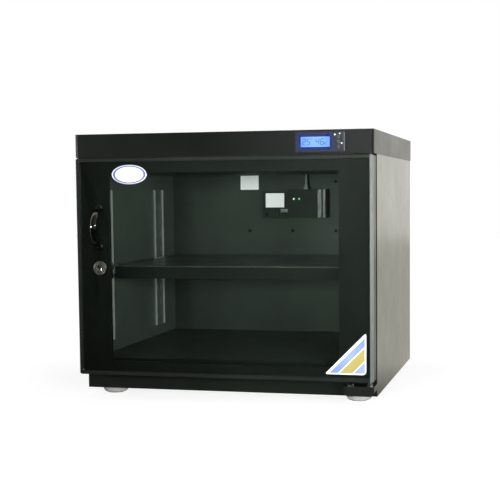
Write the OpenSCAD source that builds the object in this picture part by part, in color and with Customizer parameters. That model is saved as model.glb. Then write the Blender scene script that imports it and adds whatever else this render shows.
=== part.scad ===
/* [Cabinet] */
// Width over the top cover
case_w = 480; // [400:1:700]
// Depth from the front of the cover to the rear panel
case_d = 440; // [340:1:650]
// Height from the underside to the top, without the feet
case_h = 410; // [380:1:900]
// Thickness of the outer sheet steel
sheet = 1.2; // [0.8:0.1:2]
// Thickness of the inner lining sheet
liner_sheet = 1; // [0.6:0.1:1.5]
// Height of the base that shows below the door
plinth_h = 27; // [24:1:60]
// Gap between the outer side and the lining
liner_inset = 15; // [12:1:40]
// Space behind the lining's back wall
back_gap = 13; // [8:1:40]
// Width of the frame beside the doorway
jamb_w = 23; // [20:1:36]
// Height of the doorway's sill above the underside
sill_h = 50; // [44:1:90]
// Height of the frame above the doorway
lintel_h = 23.5; // [20:0.5:50]

/* [Top cover] */
// Height of the cover's side
cover_h = 36.5; // [34:0.5:70]
// Overhang of the cover past the side panels
cover_over = 1; // [0.5:0.1:3]
// Radius of the cover's front corners
cover_r = 5; // [3:0.5:8]
// Width of the cover's inner flange
cover_flange = 14; // [10:1:30]

/* [Door] */
// Thickness of the door without its seal
door_t = 24; // [20:0.5:40]
// Gap above the door
door_gap = 1.5; // [1:0.1:4]
// Width of the trim around the glass
trim_w = 6; // [4:0.5:12]
// Depth of the trim around the glass
trim_t = 5; // [5:0.5:6]
// Thickness of the glass
glass_t = 4; // [3:0.5:4.5]
// Width of the door's upright stiles
stile_w = 54; // [50:1:80]
// Height of the door's top rail
top_rail_w = 23; // [22:0.5:40]
// Height of the door's bottom rail
bottom_rail_w = 22; // [22:0.5:40]
// Thickness of the sheet of the door
pan_sheet = 1.2; // [0.8:0.1:1.5]
// Depth of the fold around the window
window_fold = 5; // [4:0.5:18]
// Width of the seal
seal_w = 12; // [8:0.5:12]
// Depth of the seal
seal_t = 9.6; // [6:0.2:14]
// Distance from the door's edge to the seal
seal_inset = 8; // [7:0.5:9]

/* [Hinges] */
// Distance from the cabinet's right side to the hinge axis
hinge_in = 10; // [9:0.5:14]
// Distance from the door's front to the hinge axis
hinge_y = 12.5; // [11.5:0.5:16]
// Radius of the hinge pins
pin_r = 3; // [2:0.25:3.5]
// Height of the bushes in the door
bush_h = 14; // [10:1:30]
// Wall of the bushes
bush_wall = 2; // [1:0.5:2]
// Running clearance around the pins
pin_clear = 0.05; // [0.02:0.01:0.1]
// Width of the lower bracket
bracket_w = 46.5; // [42:0.5:80]
// Thickness of the hinge brackets
bracket_t = 2; // [1.5:0.5:3]
// Gap between the door and the top leaf of the lower bracket
bracket_gap = 7; // [6:0.5:12]
// Distance between the hinge axis and the bracket's bolt
bolt_pitch = 29; // [24:1:60]

/* [Handle and lock] */
// Distance from the door's left edge to the handle and the lock
pull_in = 38.5; // [36:0.5:42]
// Height of the handle's middle above the underside
pull_z = 262; // [255:1:600]
// Distance between the handle's screws
pull_pitch = 62; // [50:1:120]
// Distance that the handle stands out of the glass
pull_out = 26; // [20:1:45]
// Width of the handle's bar
pull_w = 10; // [6:0.5:16]
// Thickness of the handle's bar
pull_t = 5; // [3:0.5:8]
// Height of the handle's feet
pull_foot_h = 6; // [3:0.5:10]
// Height of the lock above the underside
lock_z = 198; // [120:1:210]
// Radius of the lock's rosette
lock_ring_r = 11.5; // [11:0.5:14]
// Height of the lock's rosette
lock_ring_h = 4; // [2:0.5:6]
// Radius of the lock's barrel
lock_r = 9.5; // [8:0.5:10]
// Radius of the lock's plug
plug_r = 6; // [4:0.5:6.5]
// Reach of the lock's cam from its axis
cam_reach = 20; // [19:0.5:21]
// Width of the lock's cam
cam_w = 12; // [8:1:14]
// Thickness of the lock's cam
cam_t = 2; // [1:0.5:3]

/* [Display] */
// Distance from the cover's right side to the display
display_in = 44; // [30:1:120]
// Width of the display's bezel
bezel_w = 76; // [74:1:110]
// Height of the display's bezel
bezel_h = 30; // [28:0.5:30]
// Depth of the bezel's box inside the cover
bezel_d = 12; // [10:1:20]
// Distance that the bezel stands out of the cover
bezel_proud = 1.5; // [1:0.5:3]
// Width of the screen
screen_w = 45; // [30:1:46]
// Height of the screen
screen_h = 15.5; // [10:0.5:18]
// Radius of the push buttons
button_r = 2.5; // [1.5:0.25:2.75]
// Distance between the buttons' centres
button_pitch = 7.5; // [7.2:0.1:7.5]
// Travel of the buttons
button_travel = 1; // [0.5:0.1:1.2]

/* [Shelf] */
// Height of the shelf's top above the underside
shelf_z = 198.5; // [190:0.5:260]
// Gap between the shelf and the lining at each side
shelf_side_gap = 26; // [14:1:30]
// Distance from the doorway's face to the shelf's front
shelf_front = 26; // [16:1:60]
// Depth of the shelf
shelf_d = 344; // [200:1:350]
// Height of the shelf's front and rear lips
shelf_lip = 21; // [14:1:30]
// Width of the shelf standards
std_w = 44; // [24:1:46]
// Depth of the shelf standards
std_d = 5; // [4:0.5:8]
// Thickness of the shelf standards
std_sheet = 1.5; // [1:0.1:2]
// Distance from the lining's floor to the standards
std_rise = 20; // [10:1:40]
// Distance from the lining's ceiling to the standards
std_drop = 28; // [10:1:40]
// Distance from the doorway's face to the front standards
std_front = 23; // [20:1:24]
// Distance from the lining's back wall to the rear standards
std_back = 73; // [60:1:90]
// Distance between the slots of the standards
slot_pitch = 25; // [20:1:50]

/* [Drying unit] */
// Distance from the lining's right wall to the unit
unit_in = 138; // [100:1:150]
// Width of the unit's main housing
unit_w = 73; // [60:1:80]
// Height of the unit's main housing
unit_h = 53.5; // [50:0.5:70]
// Depth of the unit's main housing
unit_d = 30; // [24:1:60]
// Distance from the lining's ceiling to the unit
unit_drop = 28; // [20:1:60]
// Wall of the unit's housing
unit_wall = 2; // [1.5:0.5:3]
// Width of the unit's side box
side_box_w = 50; // [42:1:60]
// Height of the unit's side box
side_box_h = 50; // [44:1:50]
// Depth of the unit's side box
side_box_d = 24; // [16:1:24]
// Radius of the unit's cable
cable_r = 2; // [1.5:0.25:3]

/* [Feet and rear] */
// Height of the feet
foot_h = 12; // [8:0.5:20]
// Radius of the feet
foot_r = 21; // [12:0.5:24]
// Distance from the side panels to the feet's centres
foot_in = 34; // [28:1:60]
// Radius of the inlet's bore
inlet_r = 2.8; // [2.5:0.1:4]
// Depth of the inlet's bore
inlet_len = 9; // [6:0.5:12]
// Distance from the left side to the inlet
inlet_x = 60; // [40:1:120]
// Height of the inlet above the underside
inlet_z = 30; // [24:1:36]

/* [Hidden] */

// Facets of a full circle
round_fn = 48;
// Overrun of every cut
over = 1;
// Gap left between pieces that are fitted together
fit = 0.2;
// Gap left between moving pieces
run_gap = 0.3;
// Gap between the seal and the doorway's frame
seal_gap = 0.4;

// Places of the outer body
body_x0 = cover_over;
body_x1 = case_w - cover_over;
body_y0 = door_t + seal_t + seal_gap;
body_z1 = case_h - cover_h;
rear_y0 = case_d - sheet;
// Places of the lining
liner_x0 = body_x0 + liner_inset;
liner_x1 = body_x1 - liner_inset;
liner_y0 = body_y0 + sheet;
liner_y1 = rear_y0 - back_gap;
ceiling_z = body_z1 - lintel_h;
// Places of the door
door_z0 = plinth_h;
door_z1 = body_z1 - door_gap;
glass_y0 = trim_t - glass_t;
window_x0 = body_x0 + stile_w;
window_x1 = body_x1 - stile_w;
window_z0 = door_z0 + bottom_rail_w;
window_z1 = door_z1 - top_rail_w;
// Radius of the door's corners
door_r = 3;
// Width of the flange behind the door's edge
pan_flange = 22;
pull_x = body_x0 + pull_in;
hinge_x = body_x1 - hinge_in + cover_over;

// Screws
screw_r = 1.5;
screw_head_r = 3;
screw_head_h = 1.8;
screw_len = 6;

// Thickness of the inlet's flange
inlet_flange_t = 2;
// Place of the whole part along Y
y_shift = (pull_out + pull_t / 2 - glass_y0 - case_d - inlet_flange_t) / 2;

module placed() {
  translate([-case_w / 2, y_shift, foot_h]) children();
}

module block(x, y, z) {
  translate([x[0], y[0], z[0]]) cube([x[1] - x[0], y[1] - y[0], z[1] - z[0]]);
}

module rod_x(x, y, z, r) {
  translate([x[0], y, z]) rotate([0, 90, 0]) cylinder(h = x[1] - x[0], r = r, $fn = round_fn);
}

module rod_y(x, y, z, r) {
  translate([x, y[0], z]) rotate([-90, 0, 0]) cylinder(h = y[1] - y[0], r = r, $fn = round_fn);
}

module rod_z(x, y, z, r) {
  translate([x, y, z[0]]) cylinder(h = z[1] - z[0], r = r, $fn = round_fn);
}

// Upright slab with round corners as seen from the front
module slab_y(x, y, z, r) {
  block([x[0] + r, x[1] - r], y, z);
  block(x, y, [z[0] + r, z[1] - r]);
  for (px = [x[0] + r, x[1] - r], pz = [z[0] + r, z[1] - r]) rod_y(px, y, pz, r);
}

// Screw whose head stands on the face at y and points to the front
module screw_front(x, y, z, len) {
  rod_y(x, [y - screw_head_h, y], z, screw_head_r);
  rod_y(x, [y - screw_head_h / 2, y + len], z, screw_r);
}

// Screw whose head stands on the face at y and points to the rear
module screw_rear(x, y, z, len) {
  rod_y(x, [y, y + screw_head_h], z, screw_head_r);
  rod_y(x, [y - len, y + screw_head_h / 2], z, screw_r);
}

// Places of the rear panel's screws
rear_screw_edge = 20;
rear_screw_in = 7;
rear_screw_z = [rear_screw_edge, body_z1 / 2, body_z1 - rear_screw_edge];

module at_rear_screws() {
  for (x = [body_x0 + rear_screw_in, body_x1 - rear_screw_in], z = rear_screw_z)
    translate([x, 0, z]) children();
}

// Side panel with its folded flanges, the outer face at x = 0
panel_flange = 12;

module side_panel() {
  difference() {
    union() {
      block([0, sheet], [liner_y0, rear_y0], [0, body_z1]);
      block([0, panel_flange], [rear_y0 - sheet, rear_y0], [sheet, body_z1]);
      block([0, panel_flange], [liner_y0, rear_y0], [body_z1 - sheet, body_z1]);
    }
    for (z = rear_screw_z)
      rod_y(rear_screw_in, [rear_y0 - sheet - over, rear_y0 + over], z, screw_r + fit);
  }
}

module side_panel_left() {
  color("#15171a") placed() translate([body_x0, 0, 0]) side_panel();
}

module side_panel_right() {
  color("#15171a") placed() translate([body_x1, 0, 0]) mirror([1, 0, 0]) side_panel();
}

module bottom_plate() {
  color("#15171a") placed() difference() {
    block([body_x0 + sheet, body_x1 - sheet], [liner_y0, rear_y0], [0, sheet]);
    at_feet() rod_z(0, 0, [-over, sheet + over], foot_screw_r + fit);
  }
}

// Front frame with the doorway and the holes of the lower bracket's screws
module front_frame() {
  color("#101113") placed() difference() {
    block([body_x0, body_x1], [body_y0, liner_y0], [0, body_z1]);
    block([body_x0 + jamb_w, body_x1 - jamb_w], [body_y0 - over, liner_y0 + over], [sill_h, ceiling_z]);
    for (x = leg_screw_x) rod_y(x, [body_y0 - over, liner_y0 + over], leg_screw_z, screw_r + fit);
  }
}

// Wall of the lining with the holes of the standards' screws
module liner_side() {
  difference() {
    block([-liner_sheet, 0], [liner_y0, liner_y1], [sill_h - liner_sheet, ceiling_z + liner_sheet]);
    for (y = std_places, z = std_screw_z)
      rod_x([-liner_sheet - over, over], y, z, screw_r + fit);
  }
}

module liner_left() {
  color("#2b302d") placed() translate([liner_x0, 0, 0]) liner_side();
}

module liner_right() {
  color("#2b302d") placed() translate([liner_x1, 0, 0]) mirror([1, 0, 0]) liner_side();
}

module liner_floor() {
  color("#1d201f") placed() block([liner_x0, liner_x1], [liner_y0, liner_y1], [sill_h - liner_sheet,
    sill_h]);
}

module liner_ceiling() {
  color("#2b302d") placed() difference() {
    block([liner_x0, liner_x1], [liner_y0, liner_y1], [ceiling_z, ceiling_z + liner_sheet]);
    rod_z(cable_x, cable_y, [ceiling_z - over, ceiling_z + liner_sheet + over], cable_r + fit);
  }
}

// Places of the screws on the back wall, around the drying unit
wall_screw_below = 25.5;
wall_screw_drop = 14;
wall_screw_beside = 14;
wall_screw_inside = 3;
wall_screw_away = 32;

module at_wall_screws() {
  for (x = [unit_x0 - side_box_w - wall_screw_away, unit_x0 + wall_screw_inside,
    unit_x1 + wall_screw_beside])
    translate([x, 0, unit_z0 - wall_screw_below]) children();
  translate([unit_x1 + wall_screw_beside, 0, ceiling_z - wall_screw_drop]) children();
}

module liner_back() {
  color("#2b302d") placed() difference() {
    block([liner_x0 - liner_sheet, liner_x1 + liner_sheet], [liner_y1, liner_y1 + liner_sheet],
      [sill_h - liner_sheet, ceiling_z + liner_sheet]);
    at_wall_screws() rod_y(0, [liner_y1 - over, liner_y1 + liner_sheet + over], 0, screw_r + fit);
    block([unit_x0 + unit_wall, unit_x1 - unit_wall], [liner_y1 - over, liner_y1 + liner_sheet + over],
      [unit_z0 + unit_wall, unit_z1 - unit_wall]);
  }
}

// Louvres of the rear panel behind the drying unit
louvre_h = 3;
louvre_pitch = 8;
louvre_rows = floor((unit_h - louvre_pitch) / louvre_pitch);

module back_panel() {
  color("#15171a") placed() difference() {
    block([body_x0, body_x1], [rear_y0, case_d], [0, body_z1]);
    at_rear_screws() rod_y(0, [rear_y0 - over, case_d + over], 0, screw_r + fit);
    for (i = [0 : louvre_rows - 1])
      block([unit_x0 + louvre_pitch, unit_x1 - louvre_pitch], [rear_y0 - over, case_d + over],
        [unit_z0 + louvre_pitch + i * louvre_pitch, unit_z0 + louvre_pitch + i * louvre_pitch + louvre_h]);
    rod_y(inlet_x, [rear_y0 - over, case_d + over], inlet_z, inlet_body_r + fit);
  }
}

module back_screws() {
  color("#8d9094") placed() at_rear_screws() screw_rear(0, case_d, 0, screw_len);
}

// Top cover: a closed lid with an inner flange below and a window for the display
module cover_solid(gap) {
  block([gap + cover_r, case_w - gap - cover_r], [gap, case_d - gap], [body_z1 + gap, case_h - gap]);
  block([gap, case_w - gap], [gap + cover_r, case_d - gap], [body_z1 + gap, case_h - gap]);
  for (x = [gap + cover_r, case_w - gap - cover_r])
    rod_z(x, gap + cover_r, [body_z1 + gap, case_h - gap], cover_r);
}

module top_cover() {
  color("#1b1d1c") placed() difference() {
    cover_solid(0);
    cover_solid(sheet);
    block([cover_flange, case_w - cover_flange], [body_y0, case_d - cover_flange], [body_z1 - over,
      body_z1 + sheet + over]);
    block([bezel_x0 + bezel_edge, bezel_x1 - bezel_edge], [-over, sheet + over], [bezel_z0 + bezel_edge,
      bezel_z1 - bezel_edge]);
    rod_z(hinge_x, hinge_y, [body_z1 - over, body_z1 + sheet + over], pin_r + bush_wall);
    for (x = plate_screw_x) rod_z(x, plate_screw_y, [body_z1 - over, body_z1 + sheet + over],
      screw_r + fit);
  }
}

// Places of the display
bezel_x1 = case_w - display_in;
bezel_x0 = bezel_x1 - bezel_w;
bezel_z0 = body_z1 + (cover_h - bezel_h) / 2;
bezel_z1 = bezel_z0 + bezel_h;
bezel_edge = 2.5;
bezel_wall = 1.2;
bezel_face = 1;
bezel_r = 2;
screen_in = 8.3;
screen_x0 = bezel_x0 + screen_in;
screen_x1 = screen_x0 + screen_w;
screen_z0 = (bezel_z0 + bezel_z1 - screen_h) / 2;
screen_z1 = screen_z0 + screen_h;
screen_back = 5;
screen_rim = 2;
button_in = 9;
button_x = bezel_x1 - button_in;
button_z = [for (i = [-1, 0, 1]) (bezel_z0 + bezel_z1) / 2 + i * button_pitch];
button_gap = 0.1;
button_stand = 1.5;
button_flange = 0.8;
button_flange_t = 1;
led_r = 1;
led_in = 15;
led_x = bezel_x1 - led_in;
led_drop = 4.5;
led_z = bezel_z1 - led_drop;

module display_bezel() {
  color("#0c0d10") placed() difference() {
    union() {
      slab_y([bezel_x0, bezel_x1], [-bezel_proud, 0], [bezel_z0, bezel_z1], bezel_r);
      block([bezel_x0 + bezel_edge + fit, bezel_x1 - bezel_edge - fit], [-bezel_proud / 2, bezel_d],
        [bezel_z0 + bezel_edge + fit, bezel_z1 - bezel_edge - fit]);
    }
    block([bezel_x0 + bezel_edge + fit + bezel_wall, bezel_x1 - bezel_edge - fit - bezel_wall],
      [bezel_face, bezel_d + over],
      [bezel_z0 + bezel_edge + fit + bezel_wall, bezel_z1 - bezel_edge - fit - bezel_wall]);
    block([screen_x0, screen_x1], [-bezel_proud - over, bezel_d], [screen_z0, screen_z1]);
    for (z = button_z) rod_y(button_x, [-bezel_proud - over, bezel_d], z, button_r + button_gap);
    rod_y(led_x, [-bezel_proud - over, bezel_d], led_z, led_r + button_gap);
  }
}

screen_sink = 0.5;

module lcd_screen() {
  color("#8fb8ff") placed() {
    block([screen_x0 + fit, screen_x1 - fit], [screen_sink - bezel_proud, bezel_face + fit],
      [screen_z0 + fit, screen_z1 - fit]);
    block([screen_x0 - screen_rim, screen_x1 + screen_rim], [bezel_face, screen_back],
      [screen_z0 - screen_rim, screen_z1 + screen_rim]);
  }
}

board_t = 1.6;
switch_w = 5;

module display_board() {
  color("#1d5a34") placed() {
    block([bezel_x0 + bezel_edge + fit, bezel_x1 - bezel_edge - fit], [bezel_d, bezel_d + board_t],
      [bezel_z0 + bezel_edge + fit, bezel_z1 - bezel_edge - fit]);
    for (z = button_z)
      block([button_x - switch_w / 2, button_x + switch_w / 2],
        [bezel_face + button_flange_t + button_travel + run_gap, bezel_d], [z - switch_w / 2,
          z + switch_w / 2]);
    block([screen_x0, screen_x1], [screen_back, bezel_d], [screen_z0 + screen_rim, screen_z1 - screen_rim]);
  }
}

module status_led() {
  color("#f2f4f6") placed() {
    rod_y(led_x, [-bezel_proud - button_flange_t / 2, bezel_d], led_z, led_r);
  }
}

// Push button in its hole, with a flange behind the bezel's face
module push_button(z) {
  rod_y(button_x, [-bezel_proud - button_stand, bezel_face + button_flange_t], z, button_r);
  rod_y(button_x, [bezel_face, bezel_face + button_flange_t], z, button_r + button_flange);
}

module button_set() {
  color("#2a2c2e") placed() push_button(button_z[2]);
}

module button_up() {
  color("#2a2c2e") placed() push_button(button_z[1]);
}

module button_down() {
  color("#2a2c2e") placed() push_button(button_z[0]);
}

// Shelf standards: slotted channels, open towards the inside
std_z0 = sill_h + std_rise;
std_z1 = ceiling_z - std_drop;
std_places = [
  liner_y0 + std_front + std_w / 2,
  liner_y1 - std_back - std_w / 2
];
std_screw_edge = 12;
// Sizes of the shelf clips
clip_leaf_t = 1.5;
clip_w = 26;
clip_pitch = 20;
clip_under = 14;
clip_hook_t = 2;
std_screw_z = [std_z0 + std_screw_edge, std_z1 - std_screw_edge];
slot_w = 4;
slot_h = 12;
slot_count = floor((std_z1 - std_z0 - slot_pitch) / slot_pitch);
slot_z0 = shelf_z - sheet - clip_leaf_t - slot_h;
slot_low = std_z0 + std_screw_edge + slot_w;
slot_high = std_z1 - std_screw_edge - slot_w - slot_h;
slot_z = [for (i = [-slot_count : slot_count]) if (slot_z0 + i * slot_pitch > slot_low &&
  slot_z0 + i * slot_pitch < slot_high) slot_z0 + i * slot_pitch];

// Standard with its web on the wall at x = 0, centred on y = 0
module standard() {
  difference() {
    block([0, std_d], [-std_w / 2, std_w / 2], [std_z0, std_z1]);
    block([std_sheet, std_d + over], [std_sheet - std_w / 2, std_w / 2 - std_sheet], [std_z0 - over,
      std_z1 + over]);
    for (z = std_screw_z) rod_x([-over, std_d], 0, z, screw_r + fit);
    for (z = slot_z, y = [-clip_pitch / 2, clip_pitch / 2])
      block([-over, std_sheet + over], [y - slot_w / 2, y + slot_w / 2], [z, z + slot_h]);
  }
}

module standard_front_left() {
  color("#9aa3a0") placed() translate([liner_x0, std_places[0], 0]) standard();
}

module standard_front_right() {
  color("#9aa3a0") placed() translate([liner_x1, std_places[0], 0]) mirror([1, 0, 0]) standard();
}

module standard_rear_left() {
  color("#9aa3a0") placed() translate([liner_x0, std_places[1], 0]) standard();
}

module standard_rear_right() {
  color("#9aa3a0") placed() translate([liner_x1, std_places[1], 0]) mirror([1, 0, 0]) standard();
}

module standard_screws() {
  color("#b9bcc0") placed() {
    for (y = std_places, z = std_screw_z) {
      translate([liner_x0 + std_sheet, y, z]) rotate([0, 0, 90]) screw_front(0, 0, 0, screw_len);
      translate([liner_x1 - std_sheet, y, z]) rotate([0, 0, -90]) screw_front(0, 0, 0, screw_len);
    }
  }
}

// Shelf clip: a leaf under the shelf on two hooks that stand in the slots
module clip() {
  block([std_sheet + fit, shelf_side_gap + clip_under], [-clip_w / 2, clip_w / 2],
    [shelf_z - sheet - clip_leaf_t, shelf_z - sheet]);
  for (y = [-clip_pitch / 2, clip_pitch / 2]) {
    block([0, shelf_side_gap + clip_under / 2], [y - clip_hook_t / 2, y + clip_hook_t / 2],
      [shelf_z - sheet - clip_leaf_t - slot_h + fit, shelf_z - sheet - clip_leaf_t - fit]);
    block([std_sheet + fit, shelf_side_gap + clip_under / 2], [y - clip_hook_t / 2, y + clip_hook_t / 2],
      [shelf_z - sheet - clip_leaf_t - slot_h + fit, shelf_z - sheet - clip_leaf_t]);
  }
}

module shelf_clips() {
  color("#a9adab") placed() {
    for (y = std_places) {
      translate([liner_x0, y, 0]) clip();
      translate([liner_x1, y, 0]) mirror([1, 0, 0]) clip();
    }
  }
}

module wall_screws() {
  color("#d4d6d8") placed() at_wall_screws() screw_front(0, liner_y1, 0, screw_len);
}

// Shelf: a folded tray with lips that point down
shelf_x0 = liner_x0 + shelf_side_gap;
shelf_x1 = liner_x1 - shelf_side_gap;
shelf_y0 = body_y0 + shelf_front;
shelf_y1 = shelf_y0 + shelf_d;
shelf_return = 8;
shelf_bend_r = 2;

module shelf_tray() {
  color("#3b403e") placed() {
    difference() {
      union() {
        block([shelf_x0, shelf_x1], [shelf_y0 + shelf_bend_r, shelf_y1], [shelf_z - shelf_lip, shelf_z]);
        block([shelf_x0, shelf_x1], [shelf_y0, shelf_y1], [shelf_z - shelf_lip, shelf_z - shelf_bend_r]);
        rod_x([shelf_x0, shelf_x1], shelf_y0 + shelf_bend_r, shelf_z - shelf_bend_r, shelf_bend_r);
      }
      block([shelf_x0 - over, shelf_x1 + over], [shelf_y0 + sheet, shelf_y1 - sheet],
        [shelf_z - shelf_lip + sheet, shelf_z - sheet]);
      block([shelf_x0 - over, shelf_x1 + over], [shelf_y0 + shelf_return, shelf_y1 - shelf_return],
        [shelf_z - shelf_lip - over, shelf_z - sheet]);
    }
  }
}

// Drying unit on the back wall
unit_x1 = liner_x1 - unit_in;
unit_x0 = unit_x1 - unit_w;
unit_z1 = ceiling_z - unit_drop;
unit_z0 = unit_z1 - unit_h;
unit_y0 = liner_y1 - unit_d;
side_box_drop = 1;
side_z0 = unit_z0 - side_box_drop;
side_z1 = side_z0 + side_box_h;
side_x0 = unit_x0 - side_box_w;
side_y0 = liner_y1 - side_box_d;
led_pitch = 10.5;
unit_led_in = 12;
unit_led_drop = 18;
unit_led_r = 1.5;
unit_led_len = 3;
vent_count = 5;
vent_w = 3;
vent_h = 8;
vent_rise = 3;
gland_h = 10;
gland_r0 = 5;
gland_r1 = 3;
cable_in = 33;
cable_x = unit_x0 + cable_in;
cable_y = unit_y0 + unit_d / 2;

// Open box against the back wall
module wall_box(x, y0, z) {
  difference() {
    block(x, [y0, liner_y1], z);
    block([x[0] + unit_wall, x[1] - unit_wall], [y0 + unit_wall, liner_y1 + over],
      [z[0] + unit_wall, z[1] - unit_wall]);
  }
}

module unit_housing() {
  color("#202423") placed() difference() {
    wall_box([unit_x0, unit_x1], unit_y0, [unit_z0, unit_z1]);
    for (i = [0, 1])
      rod_y(unit_x0 + unit_led_in + i * led_pitch, [unit_y0 - over, unit_y0 + unit_wall + over],
        unit_z1 - unit_led_drop, unit_led_r + fit / 2);
    rod_z(cable_x, cable_y, [unit_z1 - unit_wall - over, unit_z1 + over], cable_r + fit);
    for (i = [1 : vent_count])
      block([unit_x0 + i * (unit_x1 - unit_x0) / (vent_count + 1) - vent_w / 2,
          unit_x0 + i * (unit_x1 - unit_x0) / (vent_count + 1) + vent_w / 2],
        [unit_y0 + 2 * unit_wall, liner_y1 - unit_wall], [unit_z0 - over, unit_z0 + unit_wall + over]);
  }
}

module unit_side_box() {
  color("#181b1a") placed() difference() {
    wall_box([side_x0, unit_x0], side_y0, [side_z0, side_z1]);
    for (i = [1 : vent_count])
      block([side_x0 + i * side_box_w / (vent_count + 2) - vent_w / 2,
          side_x0 + i * side_box_w / (vent_count + 2) + vent_w / 2],
        [side_y0 - over, side_y0 + unit_wall + over], [side_z0 + vent_rise, side_z0 + vent_rise + vent_h]);
  }
}

// Light bars at the housing's right end, and the latch of the side box
bar_w = 7.5;
bar_end_w = 5;
bar_space = 2.5;
bar_t = 1.5;
latch_w = 15;
latch_h = 6.5;
latch_rise = 11;

module unit_trims() {
  color("#e4e9e6") placed() {
    block([unit_x1 - bar_end_w, unit_x1], [unit_y0 - bar_t, unit_y0], [unit_z0, unit_z1]);
    block([unit_x1 - bar_end_w - bar_space - bar_w, unit_x1 - bar_end_w - bar_space],
      [unit_y0 - bar_t, unit_y0], [unit_z0, unit_z1]);
    block([unit_x0 - latch_w, unit_x0], [side_y0 - bar_t, side_y0],
      [side_z0 + latch_rise, side_z0 + latch_rise + latch_h]);
  }
}

module unit_leds() {
  color("#e8fff0") placed() for (i = [0, 1])
    rod_y(unit_x0 + unit_led_in + i * led_pitch, [unit_y0 - unit_led_r / 2, unit_y0 + unit_led_len],
      unit_z1 - unit_led_drop, unit_led_r);
}

module desiccant_block() {
  color("#d9dcd2") placed()
    block([unit_x0 + unit_wall + fit, unit_x1 - unit_wall - fit], [unit_y0 + 3 * unit_wall, liner_y1],
      [unit_z0 + unit_wall + fit, unit_z1 - unit_led_drop - 2 * unit_led_r]);
}

module unit_cable() {
  color("#0e0f10") placed()
    rod_z(cable_x, cable_y, [unit_z1 - unit_wall - fit, ceiling_z + liner_sheet + cable_r], cable_r);
}

module cable_gland() {
  color("#c9cdcb") placed() difference() {
    translate([cable_x, cable_y, unit_z1]) cylinder(h = gland_h, r1 = gland_r0, r2 = gland_r1,
      $fn = round_fn);
    rod_z(cable_x, cable_y, [unit_z1 - over, unit_z1 + gland_h + over], cable_r + fit / 2);
  }
}

// Blank labels
label_t = 0.3;
label_w = 36;
label_h = 27;
wall_label_in = 137;
wall_label_drop = 1;
unit_label_in = 6;
unit_label_drop = 2.5;

module wall_label() {
  color("#f1f1ee") placed()
    block([liner_x0 + wall_label_in, liner_x0 + wall_label_in + label_w], [liner_y1 - label_t, liner_y1],
      [ceiling_z - wall_label_drop - label_h, ceiling_z - wall_label_drop]);
}

module unit_label() {
  color("#f1f1ee") placed()
    block([side_x0 + unit_label_in, side_x0 + unit_label_in + label_w], [side_y0 - label_t, side_y0],
      [side_z1 - unit_label_drop - label_h, side_z1 - unit_label_drop]);
}

// Round power inlet with a centre contact
inlet_wall = 2.2;
inlet_body_r = inlet_r + inlet_wall;
inlet_flange_r = 8;
inlet_contact_r = 1;
inlet_end = 2;
inlet_nut_r = 8;
inlet_nut_t = 3;

module power_inlet() {
  color("#121314") placed() {
    difference() {
      union() {
        rod_y(inlet_x, [case_d + inlet_flange_t - inlet_len - inlet_end, case_d + inlet_flange_t],
          inlet_z, inlet_body_r);
        rod_y(inlet_x, [case_d, case_d + inlet_flange_t], inlet_z, inlet_flange_r);
      }
      rod_y(inlet_x, [case_d + inlet_flange_t - inlet_len, case_d + inlet_flange_t + over], inlet_z,
        inlet_r);
    }
    rod_y(inlet_x, [case_d + inlet_flange_t - inlet_len, case_d], inlet_z, inlet_contact_r);
  }
}

module inlet_nut() {
  color("#9a9da0") placed() difference() {
    translate([inlet_x, rear_y0 - inlet_nut_t, inlet_z]) rotate([-90, 0, 0])
      cylinder(h = inlet_nut_t, r = inlet_nut_r, $fn = 6);
    rod_y(inlet_x, [rear_y0 - inlet_nut_t - over, rear_y0 + over], inlet_z, inlet_body_r + fit / 2);
  }
}

// Lower hinge bracket: a top leaf under the door, a skirt, a side and a rear leg
bracket_x1 = body_x1;
bracket_x0 = bracket_x1 - bracket_w;
bracket_y0 = 3;
bracket_y1 = body_y0;
bracket_z1 = door_z0 - bracket_gap;
bracket_z0 = 5;
bracket_r = 6;
leg_screw_in = 10;
leg_screw_x = [bracket_x0 + leg_screw_in, bracket_x1 - leg_screw_in];
leg_screw_z = (bracket_z0 + bracket_z1) / 2;
bolt_x = hinge_x - bolt_pitch;
bolt_r = 2.5;
bolt_head_r = 5.5;
bolt_head_h = 3.5;
bolt_end = 2;
nut_h = 4;
nut_r = 5.5;
pin_down = 5;

module hinge_bracket_lower() {
  color("#3a3d3f") placed() difference() {
    union() {
      block([bracket_x0, bracket_x1], [bracket_y0, bracket_y1], [bracket_z1 - bracket_t, bracket_z1]);
      block([bracket_x0, bracket_x1], [bracket_y1 - bracket_t, bracket_y1], [bracket_z0, bracket_z1]);
      block([bracket_x1 - bracket_t, bracket_x1], [bracket_y0 + bracket_t, bracket_y1],
        [bracket_z0 + bracket_r, bracket_z1]);
      block([bracket_x0 + bracket_r, bracket_x1 - bracket_r], [bracket_y0, bracket_y0 + bracket_t],
        [bracket_z0, bracket_z1]);
      block([bracket_x0, bracket_x1], [bracket_y0, bracket_y0 + bracket_t], [bracket_z0 + bracket_r,
        bracket_z1]);
      for (x = [bracket_x0 + bracket_r, bracket_x1 - bracket_r])
        rod_y(x, [bracket_y0, bracket_y0 + bracket_t], bracket_z0 + bracket_r, bracket_r);
    }
    rod_z(hinge_x, hinge_y, [bracket_z1 - bracket_t - over, bracket_z1 + over], pin_r + fit / 2);
    rod_z(bolt_x, hinge_y, [bracket_z1 - bracket_t - over, bracket_z1 + over], bolt_r + fit / 2);
    for (x = leg_screw_x) rod_y(x, [bracket_y1 - bracket_t - over, bracket_y1 + over], leg_screw_z,
      screw_r + fit);
  }
}

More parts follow.
